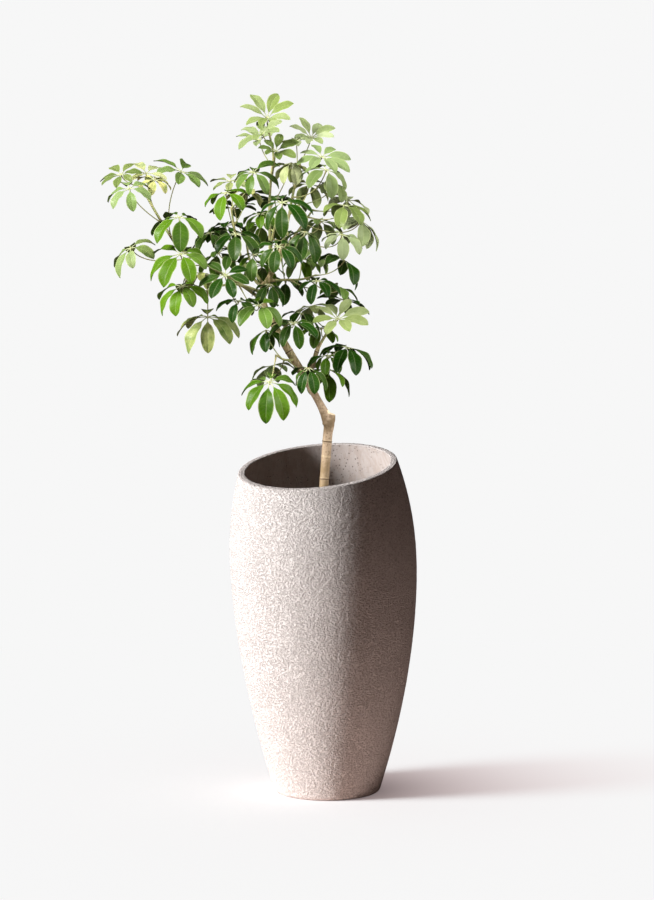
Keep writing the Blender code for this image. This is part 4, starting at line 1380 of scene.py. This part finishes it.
def leaflet_faces(rings):
    """Faces of the closed tube, with material 0 on the upper side and 1 underneath."""
    faces = [tuple(range(RING_SIDES))]
    slots = [1]
    last = (rings - 1) * RING_SIDES
    for low in range(0, last, RING_SIDES):
        high = low + RING_SIDES
        for number in range(RING_SIDES):
            after = (number + 1) % RING_SIDES
            faces.append((low + number, high + number, high + after, low + after))
            slots.append(0 if number < len(FINE_ACROSS) - 1 else 1)
    faces.append(tuple(reversed(range(last, last + RING_SIDES))))
    slots.append(1)
    return faces, slots


def make_leaflets(shoot, placed, materials):
    """The leaflets of a shoot. Those of one leaf differ a little in colour."""
    shape = Shape("along", "across", "tone", "pale", "gold")
    for offset, (leaf, (axes, rows)) in enumerate(zip(shoot.leaves, placed)):
        rng = random.Random(f"{shoot.name}{offset}")
        pale, gold = paleness(leaf, shoot, offset)
        dark = offset in DARK_LEAVES.get(shoot.name, ())
        tone = 0.0 if dark else rng.uniform(0.0, 1.0)
        for row in rows:
            looks = {
                "pale": clamp(pale + rng.uniform(-PALE_SPREAD, PALE_SPREAD)),
                "gold": gold * rng.uniform(*GOLD_SPREAD),
                "tone": clamp(tone + rng.uniform(-TONE_SPREAD, TONE_SPREAD)),
            }
            fine_leaflet(shape, leaf, axes, row, rng, **looks)
    return make_piece(shoot.name + "_leaflets", shape, materials, shoot.name)


# Fine stems and stalks


def add_stem(shape, shoot):
    """The green stem, ringed where old leaves were, with a bud at its tip."""
    start, direction = shoot_start(shoot)
    route = smooth_route([start + direction * SEAT, *shoot.route], FINE_STEM_STEP)
    places = lengths_along(route)
    radii = []
    for place in places:
        radius = shoot.radius * (1.0 - (1.0 - STEM_TIP) * place / places[-1])
        ring = math.cos(math.tau * place / NODE_SPACING) ** NODE_SHARPNESS
        radii.append(radius * (1.0 + NODE_SWELL * ring))
    tip = tangents_of(route)[-1]
    route += [route[-1] + tip * reach for reach, _ in BUD_ROWS]
    radii += [radii[-1] * share for _, share in BUD_ROWS]
    points, faces = tube(route, radii, FINE_STEM_SIDES, direction)
    run = np.repeat(np.append(places, [places[-1]] * len(BUD_ROWS)), FINE_STEM_SIDES)
    shape.add(points, faces, run=run)


def add_stalk(shape, leaf, start, bow):
    """A leaf stalk, swollen where it clasps the stem and again under its hub."""
    route = stalk_route(start, leaf, bow, FINE_STALK_STEPS)
    radii = []
    for number in range(len(route)):
        t = number / FINE_STALK_STEPS
        swell = STALK_FOOT_SWELL * math.exp(-((t / STALK_FOOT_SPREAD) ** 2))
        swell += STALK_TOP_SWELL * math.exp(-(((1 - t) / STALK_TOP_SPREAD) ** 2))
        radii.append(STALK_RADIUS * (STALK_SLIMNESS + swell))
    points, faces = tube(route, radii, FINE_STALK_SIDES)
    shares = np.repeat(np.arange(len(route)) / FINE_STALK_STEPS, FINE_STALK_SIDES)
    shape.add(points, faces, [1] * len(faces), run=shares, pale=shares**STALK_PALE_POWER)


def add_hub(shape, leaf, axes):
    """The small pale knob that the leaflets spread from."""
    hub = Vector(leaf.hub)
    route, radii = [], []
    for number in range(HUB_ROWS + 1):
        turn = math.pi * (number / HUB_ROWS - 0.5)
        route.append(hub + axes[0] * math.sin(turn) * HUB_HALF_HEIGHT * HUB_RISE)
        radii.append(max(HUB_LEAST, math.cos(turn)) * HUB_RADIUS * HUB_SHARE)
    points, faces = tube(route, radii, HUB_SIDES)
    shape.add(points, faces, [1] * len(faces), run=1.0, pale=1.0)


def make_stalks(shoot, stalks, placed, materials):
    shape = Shape("run", "pale")
    add_stem(shape, shoot)
    for (leaf, start, bow), (axes, _) in zip(stalks, placed):
        add_stalk(shape, leaf, start, bow)
        add_hub(shape, leaf, axes)
    return make_piece(shoot.name + "_stalks", shape, materials, shoot.name)


def make_shoots():
    leaf_materials = [leaf_top(), leaf_underside()]
    stalk_materials = [green_stem(), leaf_stalk()]
    pieces = []
    for shoot, stalks, placed in lay_out_shoots():
        pieces.append(make_leaflets(shoot, placed, leaf_materials))
        pieces.append(make_stalks(shoot, stalks, placed, stalk_materials))
    return pieces


# Materials


class Nodes:
    """A new material's node tree, with short calls for the nodes that it uses."""

    def __init__(self, name):
        self.material = bpy.data.materials.new(name)
        self.material.use_nodes = True
        self.tree = self.material.node_tree
        self.shader = self.tree.nodes["Principled BSDF"]
        self.output = self.tree.nodes["Material Output"]

    def put(self, value, socket):
        if isinstance(value, bpy.types.NodeSocket):
            self.tree.links.new(value, socket)
        elif hasattr(value, "__len__") and socket.type == "RGBA":
            socket.default_value = (*value, 1.0)
        else:
            socket.default_value = value

    def make(self, kind, output, inputs, **settings):
        """The named output of a new node with these settings and inputs."""
        node = self.tree.nodes.new("ShaderNode" + kind)
        for name, setting in settings.items():
            setattr(node, name, setting)
        for name, value in inputs.items():
            self.put(value, node.inputs[name])
        return node.outputs[output]

    def place(self, stretch=1.0):
        """A point's place on the object in metres, its height multiplied by this number."""
        place = self.make("TexCoord", "Object", {})
        scale = (1.0, 1.0, stretch)
        return self.make("Mapping", "Vector", {"Vector": place, "Scale": scale})

    def height(self):
        """A point's height over the floor in metres."""
        return self.make("SeparateXYZ", "Z", {"Vector": self.place()})

    def value(self, name):
        return self.make("Attribute", "Fac", {}, attribute_name=name)

    def noise(self, place, scale, detail=2.0, rough=0.5):
        inputs = {"Vector": place, "Scale": scale, "Detail": detail, "Roughness": rough}
        return self.make("TexNoise", "Fac", inputs)

    def cells(self, place, scale):
        return self.make("TexVoronoi", "Distance", {"Vector": place, "Scale": scale})

    def maths(self, operation, first, second=0.0):
        return self.make("Math", "Value", {0: first, 1: second}, operation=operation)

    def plus(self, first, second):
        return self.maths("ADD", first, second)

    def minus(self, first, second):
        return self.maths("SUBTRACT", first, second)

    def times(self, first, second):
        return self.maths("MULTIPLY", first, second)

    def range(self, value, low, high, to_low=0.0, to_high=1.0):
        """The value as a smooth step from low to high."""
        inputs = {"Value": value, "From Min": low, "From Max": high}
        inputs.update({"To Min": to_low, "To Max": to_high})
        return self.make("MapRange", "Result", inputs, interpolation_type="SMOOTHSTEP")

    def mix(self, share, first, second, blend="MIX"):
        inputs = {"Factor": share, "A": first, "B": second}
        return self.make("Mix", "Result", inputs, data_type="RGBA", blend_type=blend)

    def tint(self, colour, other, share, most):
        """The colour mixed with another one by the share, which reaches this much at most."""
        return self.mix(self.times(share, most), colour, other)

    def rough(self, noise, low, high):
        """A roughness that a noise moves from low to high."""
        return self.range(noise, *NOISE_BAND, low, high)

    def bump(self, height, distance):
        return self.make("Bump", "Normal", {"Height": height, "Distance": distance})

    def finish(self, colour, roughness, gloss, normal=None):
        self.put(colour, self.shader.inputs["Base Color"])
        self.put(roughness, self.shader.inputs["Roughness"])
        self.put(gloss, self.shader.inputs["Specular IOR Level"])
        if normal:
            self.put(normal, self.shader.inputs["Normal"])
        return self.material

    def let_through(self, colour, share):
        """Lets this share of the light through the surface in this colour."""
        thin = self.make("BsdfTranslucent", "BSDF", {"Color": colour})
        inputs = {"Fac": share, 1: self.shader.outputs["BSDF"], 2: thin}
        self.put(self.make("MixShader", "Shader", inputs), self.output.inputs["Surface"])


# The band that most values of a noise lie in
NOISE_BAND = (0.3, 0.7)

# Colours of the pot
STONE = (0.61, 0.535, 0.512)
STONE_CLOUD = tuple(0.93 * part for part in STONE)
# Painted shade for the hollows of the stone's relief
STONE_SHADE = (0.47, 0.395, 0.36)
# Dark specks, partly painted shade in the deepest hollows of the stone, and painted shade in the
# plaster's pits
STONE_SPECK_AND_SHADE = (0.12, 0.09, 0.08)
STONE_GRAIN = (0.76, 0.71, 0.67)
PLASTER = (0.39, 0.325, 0.30)
PLASTER_STREAK = (0.30, 0.225, 0.19)
# Painted shade on the lip, whose top the low window light reaches less
LIP_PAINTED_SHADE = (0.43, 0.36, 0.34)

# Colours of the soil
SOIL_DARK = (0.030, 0.019, 0.012)
SOIL_LIGHT = (0.085, 0.055, 0.035)
CHIP_DARK = (0.10, 0.055, 0.030)
CHIP_LIGHT = (0.21, 0.13, 0.075)
GRIT = (0.55, 0.52, 0.47)

# Colours of the wood
BARK_LIGHT = (0.315, 0.232, 0.165)
BARK_DARK = (0.175, 0.12, 0.07)
BARK_FRECKLE = (0.14, 0.09, 0.05)
# Painted shade on the trunk low in the pot, darker towards its foot
BARK_FOOT_SHADE = (0.17, 0.118, 0.065)
OLIVE_DARK = (0.13, 0.125, 0.035)
OLIVE_LIGHT = (0.38, 0.30, 0.16)
SCAR_EDGE = (0.52, 0.42, 0.28)
SCAR_MIDDLE = (0.09, 0.055, 0.03)
CUT_WOOD = (0.66, 0.55, 0.40)

# Colours of the leaflets
LEAF_DARK = (0.008, 0.041, 0.001)
LEAF_MID = (0.080, 0.175, 0.006)
# Greens of the paler leaves, partly painted light: their sheen and the light shining through them
LEAF_PALE = (0.175, 0.235, 0.065)
LEAF_WHITISH = (0.36, 0.41, 0.25)
LEAF_GOLD = (0.62, 0.58, 0.24)
LEAF_VEIN = (0.46, 0.52, 0.27)
LEAF_MARGIN = (0.50, 0.55, 0.27)
LEAF_BASE = (0.50, 0.54, 0.33)
LEAF_UNDER = (0.22, 0.34, 0.10)
LEAF_THROUGH = (0.30, 0.42, 0.06)
THROUGH_TINT = 0.25
THROUGH_SHARE = 0.22

# Colours of the stalks and stems
STALK_GREEN = (0.44, 0.50, 0.24)
STALK_LIGHT = (0.56, 0.60, 0.38)
STALK_FOOT = (0.40, 0.32, 0.18)
STALK_HUB = (0.58, 0.58, 0.42)
STEM_GREEN = (0.17, 0.22, 0.07)
STEM_LIGHT = (0.29, 0.28, 0.12)
STEM_CORK = (0.24, 0.17, 0.09)


def stone_colour(nodes, even, height):
    """Beige with paler grains on the high points, painted shade in the hollows, and dark specks,
    partly painted shade, in the deepest ones.
    """
    cloud = nodes.noise(even, scale=14.0, detail=3.0)
    colour = nodes.mix(nodes.range(cloud, 0.35, 0.65), STONE, STONE_CLOUD)
    # Painted shade in the hollows of the relief
    colour = nodes.tint(colour, STONE_SHADE, nodes.range(height, 0.50, 0.42), most=0.18)
    # Dark specks in the deepest hollows, partly painted shade
    colour = nodes.tint(colour, STONE_SPECK_AND_SHADE, nodes.range(height, 0.45, 0.385), most=0.42)
    return nodes.tint(colour, STONE_GRAIN, nodes.range(height, 0.54, 0.62), most=0.3)


def plaster_colour(nodes, pits):
    """Brownish plaster with streaks down it, and painted shade in its pits."""
    streaks = nodes.noise(nodes.place(stretch=0.25), scale=90.0, detail=3.0, rough=0.6)
    plaster = nodes.tint(PLASTER, PLASTER_STREAK, nodes.range(streaks, 0.42, 0.62), most=0.45)
    # Painted shade in the pits
    return nodes.tint(plaster, STONE_SPECK_AND_SHADE, pits, most=0.9)


def cast_stone():
    """Beige cast stone: wrinkled and speckled outside and on the lip, with painted shade in its
    hollows and on the lip, and smoother plaster with small pits and streaks inside, with painted
    shade in the pits."""
    nodes = Nodes("cast_stone")
    flat = nodes.place(stretch=1.6)
    even = nodes.place()
    inside = nodes.value("inside")
    coarse = nodes.noise(flat, scale=265.0, rough=0.55)
    fine = nodes.noise(flat, scale=560.0, detail=1.0)
    height = nodes.plus(nodes.times(coarse, 0.65), nodes.times(fine, 0.35))
    pitted = nodes.range(nodes.noise(even, scale=30.0), 0.44, 0.58)
    pits = nodes.times(nodes.range(nodes.cells(even, scale=170.0), 0.26, 0.10), pitted)
    stone = stone_colour(nodes, even, height)
    colour = nodes.mix(inside, stone, plaster_colour(nodes, pits))
    # Painted shade on the lip
    colour = nodes.tint(colour, LIP_PAINTED_SHADE, nodes.value("lip"), most=0.5)
    rough_share = nodes.minus(1.0, nodes.times(inside, 0.85))
    wrinkles = nodes.times(nodes.range(height, 0.37, 0.58), rough_share)
    relief = nodes.minus(wrinkles, nodes.times(nodes.times(pits, inside), 0.8))
    normal = nodes.bump(relief, distance=0.0017)
    return nodes.finish(colour, nodes.rough(fine, 0.82, 0.96), gloss=0.25, normal=normal)


def potting_soil():
    """Dark crumbly soil with brown bark and pale grit."""
    nodes = Nodes("potting_soil")
    tone = nodes.value("tone")
    crumbs = nodes.noise(nodes.place(), scale=330.0, detail=4.0, rough=0.65)
    colour = nodes.mix(nodes.range(crumbs, 0.35, 0.7), SOIL_DARK, SOIL_LIGHT)
    chips = nodes.mix(nodes.range(crumbs, *NOISE_BAND), CHIP_DARK, CHIP_LIGHT)
    colour = nodes.mix(nodes.range(tone, 0.1, 0.9), colour, chips)
    colour = nodes.mix(nodes.range(tone, 0.955, 0.965), colour, GRIT)
    normal = nodes.bump(crumbs, distance=0.0016)
    return nodes.finish(colour, nodes.rough(crumbs, 0.85, 1.0), gloss=0.2, normal=normal)


def bark():
    """Tan bark ringed with leaf scars, turning green and striped on the upper limb."""
    nodes = Nodes("bark")
    even = nodes.place()
    scar = nodes.value("scar")
    cloud = nodes.noise(even, scale=55.0, detail=3.0, rough=0.6)
    stripes = nodes.noise(nodes.place(stretch=0.22), scale=210.0, rough=0.6)
    colour = nodes.mix(nodes.range(cloud, 0.38, 0.62), BARK_LIGHT, BARK_DARK)
    freckles = nodes.range(nodes.noise(even, scale=230.0), 0.53, 0.64)
    colour = nodes.tint(colour, BARK_FRECKLE, freckles, most=0.7)
    # Painted shade, darker towards the foot of the trunk low in the pot
    foot_shade = nodes.range(nodes.height(), 0.640, 0.540)
    colour = nodes.tint(colour, BARK_FOOT_SHADE, foot_shade, most=0.8)
    olive = nodes.mix(nodes.range(stripes, 0.42, 0.58), OLIVE_DARK, OLIVE_LIGHT)
    colour = nodes.tint(colour, olive, nodes.value("green"), most=0.9)
    colour = nodes.tint(colour, SCAR_EDGE, nodes.range(scar, 0.12, 0.35), most=0.35)
    colour = nodes.mix(nodes.range(scar, 0.42, 0.72), colour, SCAR_MIDDLE)
    colour = nodes.mix(nodes.value("cut"), colour, CUT_WOOD)
    height = nodes.plus(stripes, nodes.times(cloud, 0.6))
    normal = nodes.bump(height, distance=0.0006)
    return nodes.finish(colour, nodes.rough(cloud, 0.62, 0.82), gloss=0.35, normal=normal)


def leaf_veins(nodes, along, across):
    """How much of a vein is here: the midrib, and slanting side veins that fade outwards."""
    slant = nodes.minus(nodes.times(along, 11.0), nodes.times(across, 1.3))
    comb = nodes.maths("ABSOLUTE", nodes.minus(nodes.maths("FRACT", slant), 0.5))
    side_veins = nodes.times(nodes.range(comb, 0.42, 0.5), nodes.range(across, 0.92, 0.55))
    midrib = nodes.range(across, 0.085, 0.02)
    return nodes.maths("MAXIMUM", midrib, nodes.times(side_veins, 0.45))


def leaf_colours(nodes, even):
    """A leaflet's colour with its veins, and how much of a vein is here."""
    along = nodes.value("along")
    across = nodes.maths("ABSOLUTE", nodes.value("across"))
    cloud = nodes.noise(even, scale=70.0, detail=3.0, rough=0.6)
    mixed = nodes.plus(nodes.times(nodes.value("tone"), 0.7), nodes.times(cloud, 0.3))
    share = nodes.range(mixed, 0.2, 0.8)
    green = nodes.mix(share, LEAF_DARK, LEAF_MID)
    # The paler leaves' colours are partly painted light, for their sheen and the light through them
    light = nodes.mix(share, LEAF_PALE, LEAF_WHITISH)
    colour = nodes.mix(nodes.value("pale"), green, light)
    vein = leaf_veins(nodes, along, across)
    colour = nodes.tint(colour, nodes.mix(0.3, colour, LEAF_VEIN), vein, most=0.55)
    spread = nodes.times(nodes.value("gold"), nodes.range(cloud, 0.25, 0.6))
    colour = nodes.mix(spread, colour, LEAF_GOLD)
    margin = nodes.times(nodes.range(across, 0.84, 0.94), nodes.range(along, 0.14, 0.30))
    colour = nodes.tint(colour, LEAF_MARGIN, margin, most=0.32)
    colour = nodes.tint(colour, LEAF_BASE, nodes.range(along, 0.20, 0.09), most=0.9)
    return colour, vein


def leaf_top():
    """The glossy upper side of a leaflet, with sunken veins."""
    nodes = Nodes("leaf_top")
    even = nodes.place()
    colour, vein = leaf_colours(nodes, even)
    fine = nodes.noise(even, scale=900.0)
    normal = nodes.bump(nodes.minus(nodes.times(fine, 0.25), vein), distance=0.00025)
    patch = nodes.noise(even, scale=120.0)
    nodes.let_through(nodes.mix(THROUGH_TINT, colour, LEAF_THROUGH), THROUGH_SHARE)
    return nodes.finish(colour, nodes.rough(patch, 0.30, 0.42), gloss=0.10, normal=normal)


def leaf_underside():
    """The matt, paler underside, with raised veins."""
    nodes = Nodes("leaf_underside")
    even = nodes.place()
    colour, vein = leaf_colours(nodes, even)
    colour = nodes.mix(0.35, colour, LEAF_UNDER)
    fine = nodes.noise(even, scale=900.0)
    normal = nodes.bump(nodes.plus(nodes.times(fine, 0.25), vein), distance=0.00030)
    nodes.let_through(nodes.mix(THROUGH_TINT, colour, LEAF_THROUGH), THROUGH_SHARE)
    return nodes.finish(colour, nodes.rough(fine, 0.55, 0.68), gloss=0.05, normal=normal)


def leaf_stalk():
    """Pale green leaf stalks, tan at the foot and whitish at the hub."""
    nodes = Nodes("leaf_stalk")
    cloud = nodes.noise(nodes.place(), scale=160.0, detail=3.0, rough=0.6)
    colour = nodes.mix(nodes.range(cloud, 0.35, 0.65), STALK_GREEN, STALK_LIGHT)
    colour = nodes.mix(nodes.range(nodes.value("run"), 0.06, 0.0), colour, STALK_FOOT)
    colour = nodes.mix(nodes.value("pale"), colour, STALK_HUB)
    normal = nodes.bump(cloud, distance=0.0002)
    return nodes.finish(colour, nodes.rough(cloud, 0.42, 0.56), gloss=0.4, normal=normal)


def green_stem():
    """Young stems, green with brown corky stripes and rings."""
    nodes = Nodes("green_stem")
    stripes = nodes.noise(nodes.place(stretch=0.3), scale=520.0, rough=0.6)
    cloud = nodes.noise(nodes.place(), scale=90.0, detail=3.0, rough=0.6)
    colour = nodes.mix(nodes.range(cloud, 0.35, 0.65), STEM_GREEN, STEM_LIGHT)
    colour = nodes.mix(nodes.range(stripes, 0.52, 0.66), colour, STEM_CORK)
    normal = nodes.bump(stripes, distance=0.0004)
    return nodes.finish(colour, nodes.rough(cloud, 0.5, 0.66), gloss=0.35, normal=normal)


# Floor, light and camera

BACKGROUND = (0.930, 0.930, 0.930)
FLOOR_REACH = 40.0
FLOOR_SIDES = 64
FLOOR_ROUGHNESS = 0.9
FLOOR_ALBEDO = (0.70, 0.675, 0.672)
NEAR_BOUNCE = (0.80, 0.63, 0.56)
FAR_BOUNCE = (0.14, 0.105, 0.092)
BOUNCE_FROM = 0.25
BOUNCE_TO = 0.95
SHADOW_FADE = (0.250, 0.300, 0.300)
SHADOW_POWER = 1.3
CAMERA_PLACE = (0.0, -3.8, 0.82)
CAMERA_AIM = (0.0, 0.0, 0.607)
CAMERA_LENS = 86.12
SENSOR = 36.0
LIGHT_TURN = (-0.953, -0.303)
POT_LIGHT_RISES = (7.0, 17.0, 28.0)
POT_LIGHT_STRENGTH = 9.1
FLOOR_LIGHT_RISES = (15.0, 25.0, 37.0)
FLOOR_LIGHT_STRENGTH = 9.2
POT_LIGHT_COLOUR = (0.965, 1.012, 1.02)
FLOOR_LIGHT_COLOUR = (0.98, 0.985, 0.995)
LIGHT_SOFTNESS = 16.0
PLANT_LIGHTS = (
    ("plant_window", (-0.82, -0.45, 0.50), 10.4, 18.0),
    ("plant_front", (0.25, -0.90, 0.25), 2.6, 60.0),
    ("plant_right", (0.90, -0.20, 0.40), 4.4, 40.0),
)
PLANT_LIGHT_COLOUR = (1.0, 0.985, 0.91)
AMBIENT = (0.029, 0.0215, 0.018)


def show_camera(tree, seen, other, surface):
    """Shows one shader to the camera's own rays, and another one to all other rays."""
    ray = tree.nodes.new("ShaderNodeLightPath")
    both = tree.nodes.new("ShaderNodeMixShader")
    tree.links.new(ray.outputs["Is Camera Ray"], both.inputs["Fac"])
    tree.links.new(other, both.inputs[1])
    tree.links.new(seen, both.inputs[2])
    tree.links.new(both.outputs["Shader"], surface)


def floor_material():
    """A pale floor whose shadows fade out away from the object. It lights the object in
    another tone than the camera sees."""
    nodes = Nodes("pale_floor")
    distance = nodes.make("VectorMath", "Value", {0: nodes.place()}, operation="LENGTH")
    shares = nodes.tree.nodes.new("ShaderNodeCombineColor")
    for fade, socket in zip(SHADOW_FADE, shares.inputs):
        far = nodes.maths("POWER", nodes.maths("DIVIDE", distance, fade), SHADOW_POWER)
        kept = nodes.maths("EXPONENT", nodes.times(far, -1.0))
        nodes.put(nodes.minus(1.0, kept), socket)
    faded = shares.outputs["Color"]
    rest = nodes.mix(1.0, (1.0, 1.0, 1.0), faded, "SUBTRACT")
    near = nodes.mix(1.0, rest, FLOOR_ALBEDO, "MULTIPLY")
    nodes.finish(near, FLOOR_ROUGHNESS, gloss=0.0)
    glow = nodes.mix(1.0, faded, BACKGROUND, "MULTIPLY")
    nodes.put(glow, nodes.shader.inputs["Emission Color"])
    nodes.put(1.0, nodes.shader.inputs["Emission Strength"])
    away = nodes.range(distance, BOUNCE_FROM, BOUNCE_TO)
    tone = nodes.mix(away, NEAR_BOUNCE, FAR_BOUNCE)
    bounce = nodes.make("BsdfDiffuse", "BSDF", {"Color": tone})
    seen = nodes.shader.outputs["BSDF"]
    show_camera(nodes.tree, seen, bounce, nodes.output.inputs["Surface"])
    return nodes.material


def make_floor():
    turns = turns_of(FLOOR_SIDES)
    points = [(FLOOR_REACH * math.cos(turn), FLOOR_REACH * math.sin(turn), 0.0) for turn in turns]
    floor = make_object("floor", points, [tuple(range(FLOOR_SIDES))])
    floor.data.materials.append(floor_material())
    return floor


def make_world():
    """Dim warm light from all round, with the pale background where the camera sees it."""
    world = bpy.data.worlds.new("room")
    world.use_nodes = True
    nodes = world.node_tree.nodes
    dim = nodes["Background"]
    dim.inputs["Color"].default_value = (*AMBIENT, 1.0)
    pale = nodes.new("ShaderNodeBackground")
    pale.inputs["Color"].default_value = (*BACKGROUND, 1.0)
    seen = pale.outputs["Background"]
    other = dim.outputs["Background"]
    show_camera(world.node_tree, seen, other, nodes["World Output"].inputs["Surface"])
    bpy.context.scene.world = world


def make_light(name, toward, strength, softness, colour, lit, blockers=None):
    """A sun from this direction that lights only the objects of one collection, and casts
    shadows of all objects or of those of another one."""
    light = bpy.data.lights.new(name, "SUN")
    light.energy = strength
    light.angle = math.radians(softness)
    light.color = colour
    sun = bpy.data.objects.new(name, light)
    sun.rotation_euler = Vector(toward).to_track_quat("Z", "Y").to_euler()
    bpy.context.scene.collection.objects.link(sun)
    sun.light_linking.receiver_collection = lit
    sun.light_linking.blocker_collection = blockers


def lit_collection(name, objects):
    lit = bpy.data.collections.new(name)
    for obj in objects:
        lit.objects.link(obj)
    return lit


def make_window(name, rises, strength, colour, lit, blockers):
    """A tall soft window light from the left and a little to the front."""
    for number, rise in enumerate(rises):
        level = math.cos(math.radians(rise))
        toward = (*[part * level for part in LIGHT_TURN], math.sin(math.radians(rise)))
        share = strength / len(rises)
        make_light(f"{name}_{number}", toward, share, LIGHT_SOFTNESS, colour, lit, blockers)


def make_lights(pot, floor, plant):
    """The window light reaches the pot lower than the floor. The plant has a broader one,
    and two weak ones from the front and the right."""
    lit_pot = lit_collection("lit_pot", pot)
    lit_floor = lit_collection("lit_floor", [floor])
    blockers = lit_collection("blockers", [*pot, floor])
    pot_light = (POT_LIGHT_RISES, POT_LIGHT_STRENGTH, POT_LIGHT_COLOUR)
    make_window("pot_window", *pot_light, lit_pot, blockers)
    floor_light = (FLOOR_LIGHT_RISES, FLOOR_LIGHT_STRENGTH, FLOOR_LIGHT_COLOUR)
    make_window("floor_window", *floor_light, lit_floor, blockers)
    lit = lit_collection("lit_plant", plant)
    for name, toward, strength, softness in PLANT_LIGHTS:
        make_light(name, toward, strength, softness, PLANT_LIGHT_COLOUR, lit)


def make_camera():
    camera = bpy.data.cameras.new("camera")
    camera.lens = CAMERA_LENS
    camera.sensor_fit = "VERTICAL"
    camera.sensor_height = SENSOR
    camera.sensor_width = SENSOR
    eye = bpy.data.objects.new("camera", camera)
    eye.location = CAMERA_PLACE
    gaze = Vector(CAMERA_AIM) - Vector(CAMERA_PLACE)
    eye.rotation_euler = gaze.to_track_quat("-Z", "Y").to_euler()
    bpy.context.scene.collection.objects.link(eye)
    bpy.context.scene.camera = eye


def clear_startup():
    for obj in list(bpy.data.objects):
        bpy.data.objects.remove(obj, do_unlink=True)


def main():
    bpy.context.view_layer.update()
    pot = [make_pot(), make_soil()]
    floor = make_floor()
    plant = [make_trunk(), *make_shoots()]
    make_world()
    make_lights(pot, floor, plant)
    make_camera()
    bpy.context.scene.view_settings.view_transform = "Standard"


clear_startup()
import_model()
main()
